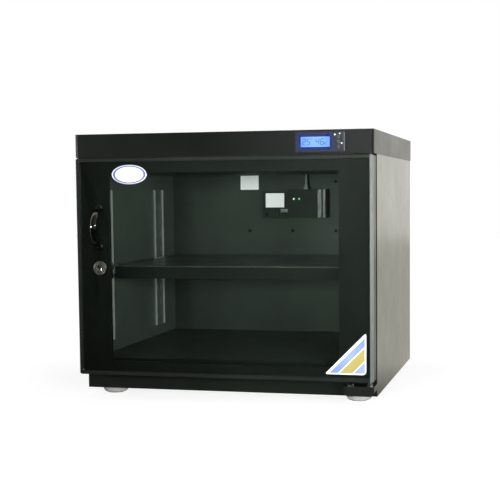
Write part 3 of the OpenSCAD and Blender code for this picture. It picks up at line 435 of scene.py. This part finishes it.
def screen_face():
    """Backlit panel, a little uneven towards its ends."""
    low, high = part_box("lcd_screen")
    mid, half = (low.x + high.x) / 2, (high.x - low.x) / 2
    g = Graph("lit_screen")
    split = g.add("ShaderNodeSeparateXYZ", {"Vector": g.coords()})
    away = g.math("DIVIDE", g.math("ABSOLUTE", g.math("SUBTRACT", split.outputs["X"], mid)), half)
    cells = g.remap(g.noise(900, 2), 0.3, 0.7, 0.96, 1.04)
    level = g.math("MULTIPLY", g.remap(away, 0.5, 1, 0.70, 0.54), cells)
    bsdf = g.add("ShaderNodeBsdfPrincipled", {"Base Color": (0.03, 0.07, 0.22), "Roughness": 0.12})
    g.set(bsdf.inputs["Emission Color"], g.blend(g.remap(away, 0.3, 1, 0, 1), (0.30, 0.55, 1.0), (0.20, 0.44, 1.0)))
    g.set(bsdf.inputs["Emission Strength"], level)
    g.set(g.out.inputs["Surface"], bsdf.outputs[0])
    return g.mat


def bezel_face():
    """Dark moulding with a deep blue window band around the lit panel; the band and a fainter haze beyond it glow as
    painted light from the panel, and a lighter strip on the right edge is a painted highlight.
    """
    low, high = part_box("lcd_screen")
    mid = (low + high) / 2
    half_x, half_z = (high.x - low.x) / 2, (high.z - low.z) / 2
    g = Graph("bezel_moulding")
    split = g.add("ShaderNodeSeparateXYZ", {"Vector": g.coords()})

    def beyond(axis, centre, half):
        offset = g.math("ABSOLUTE", g.math("SUBTRACT", split.outputs[axis], centre))
        return g.math("MAXIMUM", g.math("SUBTRACT", offset, half), 0)

    dx, dz = beyond("X", mid.x, half_x), beyond("Z", mid.z, half_z)
    away = g.math("SQRT", g.math("ADD", g.math("MULTIPLY", dx, dx), g.math("MULTIPLY", dz, dz)))
    band = g.remap(away, 1.6 * MM, 3.0 * MM, 1, 0)
    haze = g.remap(away, 2.0 * MM, 7.5 * MM, 1, 0)
    drift = g.remap(g.noise(22, 4), 0.3, 0.7, 0, 1)
    skin = g.blend(drift, (0.014, 0.016, 0.021), (0.020, 0.022, 0.028))
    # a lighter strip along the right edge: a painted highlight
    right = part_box("display_bezel")[1].x
    rim = g.remap(split.outputs["X"], right - 1.6 * MM, right - 0.6 * MM, 0, 0.7)
    skin = g.blend(rim, skin, (0.13, 0.135, 0.145))
    bsdf = g.add("ShaderNodeBsdfPrincipled")
    g.set(bsdf.inputs["Base Color"], g.blend(band, skin, (0.004, 0.007, 0.036)))
    g.set(bsdf.inputs["Roughness"], g.remap(g.noise(60, 4, 0.6), 0.3, 0.7, 0.25, 0.36))
    g.set(bsdf.inputs["Normal"], g.bump(g.noise(1200, 2), 0.3, 0.00005))
    bsdf.inputs["Emission Color"].default_value = (0.05, 0.12, 0.75, 1)
    # painted glow: light from the panel spilling over the band and the haze around it
    glow = g.math("ADD", g.math("MULTIPLY", band, 0.11), g.math("MULTIPLY", haze, 0.03))
    g.set(bsdf.inputs["Emission Strength"], glow)
    g.set(g.out.inputs["Surface"], bsdf.outputs[0])
    return g.mat


def unit_lights():
    """Two lenses on the drying unit: the left one lit white, the right one green."""
    low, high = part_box("unit_leds")
    g = Graph("unit_lights")
    split = g.add("ShaderNodeSeparateXYZ", {"Vector": g.coords()})
    right = g.remap(split.outputs["X"], (low.x + high.x) / 2 - MM, (low.x + high.x) / 2 + MM, 0, 1)
    core = g.remap(g.noise(500, 3), 0.3, 0.7, 0.8, 1.1)
    bsdf = g.add("ShaderNodeBsdfPrincipled", {"Roughness": 0.2})
    g.set(bsdf.inputs["Base Color"], g.blend(right, (0.80, 0.95, 0.85), (0.10, 0.50, 0.12)))
    g.set(bsdf.inputs["Emission Color"], g.blend(right, (0.75, 1.0, 0.80), (0.16, 0.85, 0.22)))
    g.set(bsdf.inputs["Emission Strength"], core)
    g.set(g.out.inputs["Surface"], bsdf.outputs[0])
    return g.mat


dress(unit_lights(), "unit_leds")
dress(corner_print(), "corner_label")
dress(oval_print(), "oval_label")
dress(screen_face(), "lcd_screen")
dress(bezel_face(), "display_bezel")
digit_ink = lamp("digit_ink", (0.01, 0.03, 0.12), (0.06, 0.16, 0.55), 0.36)


# ---------------------------------------------------------------- Softened edges of folded and moulded parts
def soften(width, *names, flat=1.0):
    for n in names:
        o = nodes[n]
        weld = o.modifiers.new("weld", "WELD")
        weld.merge_threshold = 0.00001
        plane = o.modifiers.new("plane", "DECIMATE")
        plane.decimate_type = "DISSOLVE"
        plane.angle_limit = math.radians(flat)
        bevel = o.modifiers.new("round", "BEVEL")
        bevel.width = width
        bevel.segments = 2
        bevel.limit_method = "ANGLE"
        bevel.angle_limit = math.radians(40)
        bevel.harden_normals = False
        o.modifiers.new("normals", "WEIGHTED_NORMAL")


soften(0.5 * MM, "side_panel_left", "side_panel_right", "top_cover", "door_pan", "front_frame")
soften(0.4 * MM, "shelf_tray", "hinge_bracket_lower", "unit_housing", "unit_side_box")
soften(1.8 * MM, "door_trim")


# ---------------------------------------------------------------- Mesh building
def to_piece(name, verts, faces, material, body, slot, sharp=35, replaced=()):
    """A mesh object that rides on a body and takes the given material; the slot argument is not used."""
    mesh = bpy.data.meshes.new(name)
    mesh.from_pydata(verts, [], faces)
    work = bmesh.new()
    work.from_mesh(mesh)
    bmesh.ops.remove_doubles(work, verts=work.verts, dist=1e-7)
    bmesh.ops.recalc_face_normals(work, faces=work.faces)
    work.to_mesh(mesh)
    work.free()
    mesh.shade_smooth()
    mesh.set_sharp_from_angle(angle=math.radians(sharp))
    mesh.materials.append(material)
    o = bpy.data.objects.new(name, mesh)
    bpy.context.scene.collection.objects.link(o)
    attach(o, body)
    if replaced:
        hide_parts(*replaced)
    return o


class Shape:
    """Vertices and faces gathered from several simple forms."""

    def __init__(self):
        self.verts, self.faces = [], []

    def add(self, verts, faces):
        n = len(self.verts)
        self.verts += [tuple(v) for v in verts]
        self.faces += [tuple(i + n for i in f) for f in faces]

    def rings(self, rings, closed=False, caps=True):
        """Skin over equal rings of points; open ends are capped unless told not to."""
        count = len(rings[0])
        verts = [p for ring in rings for p in ring]
        faces = []
        spans = len(rings) if closed else len(rings) - 1
        for i in range(spans):
            a, b = i * count, (i + 1) % len(rings) * count
            faces += [(a + k, a + (k + 1) % count, b + (k + 1) % count, b + k) for k in range(count)]
        if caps and not closed:
            faces += [tuple(range(count)), tuple(range(len(verts) - count, len(verts)))]
        self.add(verts, faces)

    def lathe(self, profile, centre, axis, steps=64, closed=False):
        """Turns (radius, height) points about an axis through centre."""
        rings = []
        for radius, height in profile:
            ring = []
            for k in range(steps):
                a = 2 * math.pi * k / steps
                u, v = radius * math.cos(a), radius * math.sin(a)
                if axis == "y":
                    ring.append((centre[0] + u, centre[1] + height, centre[2] + v))
                else:
                    ring.append((centre[0] + u, centre[1] + v, centre[2] + height))
            rings.append(ring)
        self.rings(rings, closed)

    def plate(self, x, z, corner, steps, bend=6):
        """Stacked rounded rectangles facing the front: steps are (inset, y) from back to front."""
        rings = []
        for inset, y in steps:
            radius = max(corner - inset, 0.02 * MM)
            ring = []
            corners = (
                (x[1] - inset - radius, z[1] - inset - radius, 0),
                (x[0] + inset + radius, z[1] - inset - radius, 1),
                (x[0] + inset + radius, z[0] + inset + radius, 2),
                (x[1] - inset - radius, z[0] + inset + radius, 3),
            )
            for cx, cz, quarter in corners:
                for k in range(bend + 1):
                    a = (quarter + k / bend) * math.pi / 2
                    ring.append((cx + radius * math.cos(a), y, cz + radius * math.sin(a)))
            rings.append(ring)
        self.rings(rings)


def dome(height, inset, steps=5):
    """(inset, rise) points of a quarter-round edge."""
    points = []
    for k in range(steps + 1):
        a = math.pi / 2 * k / steps
        points.append((inset * (1 - math.cos(a)), height * math.sin(a)))
    return points


# ---------------------------------------------------------------- Pull
def make_pull():
    """Bow pull: a crowned strap that thins towards two turned feet."""
    low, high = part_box("handle")
    foot_r = 6 * MM
    mid = (low + high) / 2
    foot_z = (low.z + foot_r, high.z - foot_r)
    strap_t, strap_w = 5 * MM, 10 * MM
    foot_h = 6 * MM
    rise = high.y - low.y - foot_h
    half = (foot_z[1] - foot_z[0]) / 2
    outer = (half * half + rise * rise) / (2 * rise)
    centre_y = low.y + outer
    reach = math.asin(half / outer) + 0.03
    shape = Shape()
    rings = []
    spans, around = 48, 28
    for i in range(spans + 1):
        t = 2 * i / spans - 1
        angle = t * reach
        end = max(0.0, (abs(t) - 0.93) / 0.07)
        taper = math.sqrt(max(0.0, 1 - end * end)) if end < 1 else 0.0
        size = max(taper, 0.04)
        width = strap_w * (0.40 + 0.10 * math.cos(t * math.pi / 2)) * size
        depth = strap_t * (0.40 + 0.10 * math.cos(t * math.pi / 2)) * size
        line = outer - strap_t / 2
        ring = []
        for k in range(around):
            a = 2 * math.pi * k / around
            c, s = math.cos(a), math.sin(a)
            across = width * math.copysign(abs(c) ** 0.75, c)
            out = depth * math.copysign(abs(s) ** 0.85, s)
            radius = line + out
            ring.append((mid.x + across, centre_y - radius * math.cos(angle), mid.z + radius * math.sin(angle)))
        rings.append(ring)
    shape.rings(rings)
    foot = [(0.1, 0), (6.0, 0), (6.0, -0.8), (5.7, -1.2), (5.0, -1.5), (5.0, -1.9), (4.6, -2.4)]
    foot += [(3.9, -3.4), (3.6, -4.6), (3.6, -6.4), (0.1, -7.0)]
    for z in foot_z:
        shape.lathe([(r * MM, h * MM) for r, h in foot], (mid.x, high.y, z), "y", 40)
    to_piece("bow_pull", shape.verts, shape.faces, pull_metal, "door", "handle_metal", replaced=("handle",))


# ---------------------------------------------------------------- Lock
def make_lock():
    """Rosette with a stepped, domed face, and a plug with a dished keyway."""
    low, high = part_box("lock_barrel")
    mid = (low + high) / 2
    face = low.y
    shape = Shape()
    ring = [(6.15, 1.2), (6.25, 0.5), (6.7, 0.12), (7.4, 0.0), (8.1, 0.1), (8.5, 0.5), (8.9, 0.55)]
    ring += [(9.3, 0.2), (9.9, 0.12), (10.7, 0.5), (11.25, 1.2), (11.5, 2.2), (11.5, 4.0), (9.5, 4.0)]
    profile = [(r * MM, h * MM) for r, h in ring]
    depth = high.y - low.y
    profile += [(9.5 * MM, depth), (6.15 * MM, depth)]
    shape.lathe(profile, (mid.x, face, mid.z), "y", 72, closed=True)
    to_piece("lock_rosette", shape.verts, shape.faces, nickel, "door", "nickel", 30, ("lock_barrel",))
    low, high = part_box("lock_plug")
    mid = (low + high) / 2
    plug = Shape()
    face = [(0.05, 0.55), (2.8, 0.5), (3.6, 0.25), (4.2, 0.0), (5.2, 0.0), (5.7, 0.3), (6.0, 0.9)]
    profile = [(r * MM, h * MM) for r, h in face] + [(6.0 * MM, high.y - low.y), (0.05 * MM, high.y - low.y)]
    plug.lathe(profile, (mid.x, low.y, mid.z), "y", 48)
    o = to_piece("lock_face", plug.verts, plug.faces, nickel, "lock", "nickel", 30, ("lock_plug",))
    slot = Shape()
    key_w, key_h = 0.6 * MM, 3.5 * MM
    walls = [(0, low.y + 9 * MM), (0, low.y - MM)]
    slot.plate((mid.x - key_w, mid.x + key_w), (mid.z - key_h, mid.z + key_h), 0.3 * MM, walls, 3)
    carve(o, slot)


def carve(o, shape):
    """Cuts a closed shape out of a piece."""
    mesh = bpy.data.meshes.new("cutter")
    mesh.from_pydata(shape.verts, [], shape.faces)
    work = bmesh.new()
    work.from_mesh(mesh)
    bmesh.ops.recalc_face_normals(work, faces=work.faces)
    work.to_mesh(mesh)
    work.free()
    cutter = bpy.data.objects.new("cutter", mesh)
    bpy.context.scene.collection.objects.link(cutter)
    mod = o.modifiers.new("cut", "BOOLEAN")
    mod.object, mod.operation, mod.solver = cutter, "DIFFERENCE", "EXACT"
    bpy.context.view_layer.update()
    graph = bpy.context.evaluated_depsgraph_get()
    result = bpy.data.meshes.new_from_object(o.evaluated_get(graph))
    o.modifiers.clear()
    o.data = result
    result.set_sharp_from_angle(angle=math.radians(30))
    bpy.data.objects.remove(cutter)


# ---------------------------------------------------------------- Feet
def make_feet():
    """Chromed bowls with rolled rims over grooved rubber pads."""
    low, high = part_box("foot_cups")
    radius = 21 * MM
    xs = (low.x + radius, high.x - radius)
    ys = (low.y + radius, high.y - radius)
    bowl = [(2.6, 0), (20.6, 0), (21.0, -0.4), (21.0, -3.0), (20.7, -5.2), (19.9, -7.4), (18.6, -9.2)]
    bowl += [(17.0, -10.5), (16.0, -10.9), (15.2, -10.7), (14.9, -10.2), (14.9, -2.0), (2.6, -2.0)]
    pad = [(5.4, -2.2), (14.4, -2.2), (14.4, -11.2), (14.0, -11.8), (13.4, -12.0), (11.0, -12.0)]
    pad += [(10.7, -11.5), (9.9, -11.5), (9.6, -12.0), (7.6, -12.0), (7.3, -11.5), (5.4, -11.5)]
    cups, pads = Shape(), Shape()
    for x in xs:
        for y in ys:
            cups.lathe([(r * MM, h * MM) for r, h in bowl], (x, y, high.z), "z", 72, closed=True)
            pads.lathe([(r * MM, h * MM) for r, h in pad], (x, y, high.z), "z", 56, closed=True)
    to_piece("foot_bowls", cups.verts, cups.faces, chrome, "cabinet", "chrome", replaced=("foot_cups",))
    to_piece("foot_treads", pads.verts, pads.faces, black_rubber, "cabinet", "black_rubber", replaced=("foot_pads",))


# ---------------------------------------------------------------- Door gasket
def make_gasket():
    """Bellows seal around the doorway, with rounded mitres."""
    low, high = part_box("door_seal")
    width = 12 * MM
    back = high.y - low.y
    section = [(-6, 0), (6, 0), (6, 1.1), (4.9, 1.9), (3.4, 2.6), (3.2, 3.4), (4.0, 4.6), (4.0, 5.6)]
    section += [(3.2, 6.6), (3.3, 7.4), (3.7, 8.4), (3.2, 9.3), (2.4, 9.6)]
    section += [(-a, b) for a, b in reversed(section[2:])]
    x0, x1, z0, z1 = low.x + width / 2, high.x - width / 2, low.z + width / 2, high.z - width / 2
    bend, steps = 2.2 * MM, 5
    rings = []
    left, right, bottom, top = x0 + bend, x1 - bend, z0 + bend, z1 - bend
    for cx, cz, quarter in ((right, top, 0), (left, top, 1), (left, bottom, 2), (right, bottom, 3)):
        for k in range(steps + 1):
            a = (quarter + k / steps) * math.pi / 2
            c, s = math.cos(a), math.sin(a)
            ring = []
            for across, out in section:
                r = bend + max(across * MM, 0.1 * MM - bend)
                ring.append((cx + r * c, low.y + min(out * MM, back), cz + r * s))
            rings.append(ring)
    shape = Shape()
    shape.rings(rings, closed=True)
    to_piece("door_gasket", shape.verts, shape.faces, black_rubber, "door", "black_rubber", 50, ("door_seal",))


# ---------------------------------------------------------------- Screen digits
SEGMENTS = {"2": "abged", "4": "fgbc", "5": "afgcd", "6": "afgedc"}


def make_digits():
    """Seven-segment readings on the lit panel: warmth and dampness."""
    low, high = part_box("lcd_screen")
    front = low.y
    shape = Shape()
    tall, wide, stroke, lean = 8.6 * MM, 4.6 * MM, 1.0 * MM, 0.10
    base = (low.z + high.z) / 2 - tall / 2

    def bar(x0, z0, x1, z1):
        dx, dz = x1 - x0, z1 - z0
        length = math.hypot(dx, dz)
        ux, uz = dx / length, dz / length
        h, trim = stroke / 2, 0.2 * MM
        start, stop = trim + h, length - trim - h
        along = [(trim, 0), (start, h), (stop, h), (length - trim, 0), (stop, -h), (start, -h)]
        points = [(x0 + ux * a - uz * b, z0 + uz * a + ux * b) for a, b in along]
        rings = []
        for y in (front - 0.01 * MM, front - 0.08 * MM):
            rings.append([(px + (pz - base) * lean, y, pz) for px, pz in points])
        shape.rings(rings)

    def digit(x, mark):
        end, centre, top = x + wide, base + tall / 2, base + tall
        spans = {
            "a": (x, top, end, top),
            "b": (end, centre, end, top),
            "c": (end, base, end, centre),
            "d": (x, base, end, base),
            "e": (x, base, x, centre),
            "f": (x, centre, x, top),
            "g": (x, centre, end, centre),
        }
        for s in SEGMENTS[mark]:
            bar(*spans[s])

    def spot(x, z, radius):
        turns = [k * math.pi / 6 for k in range(12)]
        ring = [(x + radius * math.cos(a), z + radius * math.sin(a)) for a in turns]
        shape.rings([[(px, y, pz) for px, pz in ring] for y in (front - 0.01 * MM, front - 0.08 * MM)])

    step = 7.2 * MM
    left, right = low.x + 4.2 * MM, low.x + 25.2 * MM
    for i, mark in enumerate("25"):
        digit(left + i * step, mark)
    spot(left + 2 * step + 0.6 * MM, base + tall, 0.8 * MM)
    for i, mark in enumerate("46"):
        digit(right + i * step, mark)
    bar(right + 1.8 * step + 0.3 * MM, base, right + 1.8 * step + 2.6 * MM, base + 3.6 * MM)
    spot(right + 1.8 * step + 0.4 * MM, base + 3.0 * MM, 0.5 * MM)
    spot(right + 1.8 * step + 2.6 * MM, base + 0.6 * MM, 0.5 * MM)
    to_piece("screen_digits", shape.verts, shape.faces, digit_ink, "cabinet", "screen")


# ---------------------------------------------------------------- Drying unit trims
def make_unit_trims():
    """Half-round light bars, a ribbed latch and a ribbed cable relief."""
    low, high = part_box("unit_trims")
    unit_low, unit_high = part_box("unit_housing")
    bars = Shape()
    bar_t = 1.5 * MM
    edge = unit_low.y
    for x0, x1 in ((unit_high.x - 15 * MM, unit_high.x - 7.5 * MM), (unit_high.x - 5 * MM, unit_high.x)):
        steps = [(0, edge)] + [(inset, edge - rise) for inset, rise in dome(bar_t, 2.0 * MM)]
        bars.plate((x0, x1), (unit_low.z, unit_high.z), 2.4 * MM, steps)
    box_low, box_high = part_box("unit_side_box")
    z0 = box_low.z + 11 * MM
    latch = [(0, box_low.y), (0, box_low.y - 0.8 * MM), (0.5 * MM, box_low.y - 1.1 * MM)]
    bars.plate((box_high.x - 15 * MM, box_high.x), (z0, z0 + 6.5 * MM), 1.0 * MM, latch)
    rib = [(0, box_low.y - 1.0 * MM), (0.2 * MM, box_low.y - 1.5 * MM)]
    for k in range(5):
        x = box_high.x - 13 * MM + k * 2.7 * MM
        bars.plate((x, x + 1.3 * MM), (z0 + 0.9 * MM, z0 + 5.6 * MM), 0.4 * MM, rib, 3)
    finish = (white_plastic, "cabinet", "white_plastic")
    to_piece("unit_light_bars", bars.verts, bars.faces, *finish, replaced=("unit_trims",))
    low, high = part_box("cable_gland")
    mid = (low + high) / 2
    relief = Shape()
    profile = [(2.15, 0), (5.0, 0), (5.0, 1.0)]
    for k in range(5):
        h, r = 1.6 + 1.6 * k, 4.6 - 0.35 * k
        profile += [(r - 0.7, h - 0.35), (r - 0.7, h), (r, h + 0.25), (r - 0.15, h + 0.9)]
    profile += [(2.8, 10.0), (2.15, 10.0)]
    relief.lathe([(r * MM, h * MM) for r, h in profile], (mid.x, mid.y, low.z), "z", 32, closed=True)
    to_piece("cable_relief", relief.verts, relief.faces, *finish, replaced=("cable_gland",))


def make_lens_and_glint_dot():
    """Two glowing dots beside the buttons: the upper one a signal lens, the lower one a painted highlight that
    stands in for a glint on a button.
    """
    low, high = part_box("display_bezel")
    shape = Shape()
    lens = [(0.05, -0.45), (0.5, -0.4), (0.85, -0.2), (1.0, 0.05), (1.0, 0.3), (0.05, 0.3)]
    profile = [(r * MM, h * MM) for r, h in lens]
    # the second, lower dot glows as a painted glint on a button
    for from_right, from_top in ((7.6, 3.2), (4.4, 17.8)):
        shape.lathe(profile, (high.x - from_right * MM, low.y, high.z - from_top * MM), "y", 20)
    to_piece("signal_lens_and_glint_dot", shape.verts, shape.faces, led_white, "cabinet", "led")


def make_shade_strip():
    """Dark strip under the cover, above the top of the door: a dark sheet put in the gap where there is only shade,
    a painted shade.
    """
    cover_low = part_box("top_cover")[0]
    frame_low, frame_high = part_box("front_frame")
    x0, x1 = frame_low.x + MM, frame_high.x - 30 * MM
    y0, y1 = cover_low.y + 3 * MM, frame_low.y
    z0, z1 = cover_low.z - 1.1 * MM, cover_low.z
    shape = Shape()
    corners = [[(x, y0, z0), (x, y0, z1), (x, y1, z1), (x, y1, z0)] for x in (x0, x1)]
    shape.rings(corners)
    to_piece("top_shade_strip", shape.verts, shape.faces, black_rubber, "cabinet", "black_rubber")


make_shade_strip()
make_lens_and_glint_dot()
make_pull()
make_lock()
make_feet()
make_gasket()
make_digits()
make_unit_trims()

# ---------------------------------------------------------------- Stage and light
FLOOR_HALF = 6.0


def add_floor():
    g = Graph("pale_floor")
    tone = g.remap(g.noise(3, 3), 0.3, 0.7, 0.90, 0.93)
    combined = g.add("ShaderNodeCombineColor")
    for channel in range(3):
        g.set(combined.inputs[channel], tone)
    diffuse = g.add("ShaderNodeBsdfDiffuse")
    g.set(diffuse.inputs["Color"], combined.outputs[0])
    path = g.add("ShaderNodeLightPath")
    split = g.add("ShaderNodeSeparateXYZ", {"Vector": g.coords()})
    behind = g.remap(split.outputs["Y"], -0.25, 0.25, 0, 1)
    seen = g.math("MAXIMUM", path.outputs["Is Camera Ray"], path.outputs["Is Transmission Ray"])
    flat = g.add("ShaderNodeCombineXYZ")
    g.set(flat.inputs["X"], split.outputs["X"])
    g.set(flat.inputs["Y"], split.outputs["Y"])
    distance = g.add("ShaderNodeVectorMath")
    distance.operation = "LENGTH"
    g.set(distance.inputs[0], flat.outputs[0])
    away = g.remap(distance.outputs["Value"], 0.35, 0.95, 0, 1)
    white = g.add("ShaderNodeEmission", {"Color": (1, 1, 1)})
    g.set(white.inputs["Strength"], g.remap(away, 0, 1, 1.45, 1.02))
    first = g.add("ShaderNodeMixShader")
    g.set(first.inputs[0], g.math("MULTIPLY", seen, g.remap(away, 0, 1, 0.58, 1)))
    g.set(first.inputs[1], diffuse.outputs[0])
    g.set(first.inputs[2], white.outputs[0])
    mirrored = g.add("ShaderNodeEmission")
    g.set(mirrored.inputs["Color"], g.blend(behind, FLOOR_FRONT, FLOOR_BEHIND))
    mix = g.add("ShaderNodeMixShader")
    g.set(mix.inputs[0], path.outputs["Is Glossy Ray"])
    g.set(mix.inputs[1], first.outputs[0])
    g.set(mix.inputs[2], mirrored.outputs[0])
    g.set(g.out.inputs["Surface"], mix.outputs[0])
    mesh = bpy.data.meshes.new("floor")
    h = FLOOR_HALF
    mesh.from_pydata([(-h, -h, 0), (h, -h, 0), (h, h, 0), (-h, h, 0)], [], [(0, 1, 2, 3)])
    mesh.materials.append(g.mat)
    floor = bpy.data.objects.new("floor", mesh)
    bpy.context.scene.collection.objects.link(floor)


FRONT_LEFT = (0.040, 0.055, 0.042)
FRONT_RIGHT = (0.085, 0.093, 0.088)
BEHIND = (0.92, 0.91, 0.83)
FLOOR_BEHIND = (0.56, 0.555, 0.48)
FLOOR_FRONT = (0.010, 0.014, 0.011)
FILL = (0.30, 0.30, 0.30)


def add_world():
    """White to the camera and behind the object, dim in front of it, soft fill for the rest."""
    world = bpy.data.worlds.new("studio")
    bpy.context.scene.world = world
    world.use_nodes = True
    tree = world.node_tree
    tree.nodes.clear()
    new, link = tree.nodes.new, tree.links.new
    out = new("ShaderNodeOutputWorld")
    back = new("ShaderNodeBackground")
    back.inputs["Strength"].default_value = 1.0
    path = new("ShaderNodeLightPath")
    coords = new("ShaderNodeTexCoord")
    split = new("ShaderNodeSeparateXYZ")
    link(coords.outputs["Generated"], split.inputs[0])

    def calc(operation, a, b, clamp=False):
        n = new("ShaderNodeMath")
        n.operation, n.use_clamp = operation, clamp
        for socket, value in zip(n.inputs, (a, b)):
            if isinstance(value, bpy.types.NodeSocket):
                link(value, socket)
            else:
                socket.default_value = value
        return n.outputs[0]

    def ramp(value, low, high, to_low, to_high):
        n = new("ShaderNodeMapRange")
        n.interpolation_type = "SMOOTHSTEP"
        link(value, n.inputs["Value"])
        for k, v in (("From Min", low), ("From Max", high), ("To Min", to_low), ("To Max", to_high)):
            n.inputs[k].default_value = v
        return n.outputs[0]

    def tint(share, a, b):
        n = new("ShaderNodeMix")
        n.data_type = "RGBA"
        link(share, n.inputs[0])
        for socket, value in ((n.inputs[6], a), (n.inputs[7], b)):
            if isinstance(value, bpy.types.NodeSocket):
                link(value, socket)
            else:
                socket.default_value = (*value, 1)
        return n.outputs[2]

    behind = ramp(split.outputs["Y"], -0.35, 0.35, 0, 1)
    across = ramp(split.outputs["X"], -0.55, 0.35, 0, 1)
    front = tint(across, FRONT_LEFT, FRONT_RIGHT)
    mirror = tint(behind, front, BEHIND)
    lit = tint(path.outputs["Is Glossy Ray"], FILL, mirror)
    camera = calc("MAXIMUM", path.outputs["Is Camera Ray"], path.outputs["Is Transmission Ray"])
    link(tint(camera, lit, (1, 1, 1)), back.inputs["Color"])
    link(back.outputs[0], out.inputs["Surface"])


def add_area(name, place, target, size, power, spread=180, diffuse=True, glossy=True):
    data = bpy.data.lights.new(name, "AREA")
    data.shape = "RECTANGLE"
    data.size, data.size_y = size
    data.energy = power
    data.spread = math.radians(spread)
    o = bpy.data.objects.new(name, data)
    o.location = place
    o.rotation_euler = (Vector(target) - Vector(place)).to_track_quat("-Z", "Y").to_euler()
    o.visible_diffuse, o.visible_glossy = diffuse, glossy
    bpy.context.scene.collection.objects.link(o)


add_floor()
add_world()
add_area("key", (1.05, -1.70, 0.335), (0, 0, 0.2), (0.3, 0.3), 20, glossy=False)
add_area("side", (1.45, -1.30, 0.335), (-0.2, 0, 0.2), (0.3, 0.3), 12, glossy=False)
add_area("lift", (-0.10, -1.85, 0.335), (0.15, 0.2, 0.28), (0.2, 0.2), 0.9, spread=24, glossy=False)
add_area("fill", (-1.5, -1.4, 1.6), (0, 0, 0.2), (1.2, 1.2), 3, glossy=False)
add_area("glint", (0.35, -1.86, 0.75), (0, 0, 0.2), (0.05, 0.05), 4, diffuse=False)
add_area("rim", (-1.50, -1.50, 0.45), (-0.2, -0.2, 0.25), (0.05, 0.05), 4, diffuse=False)

scene = bpy.context.scene
scene.view_settings.view_transform = "Standard"
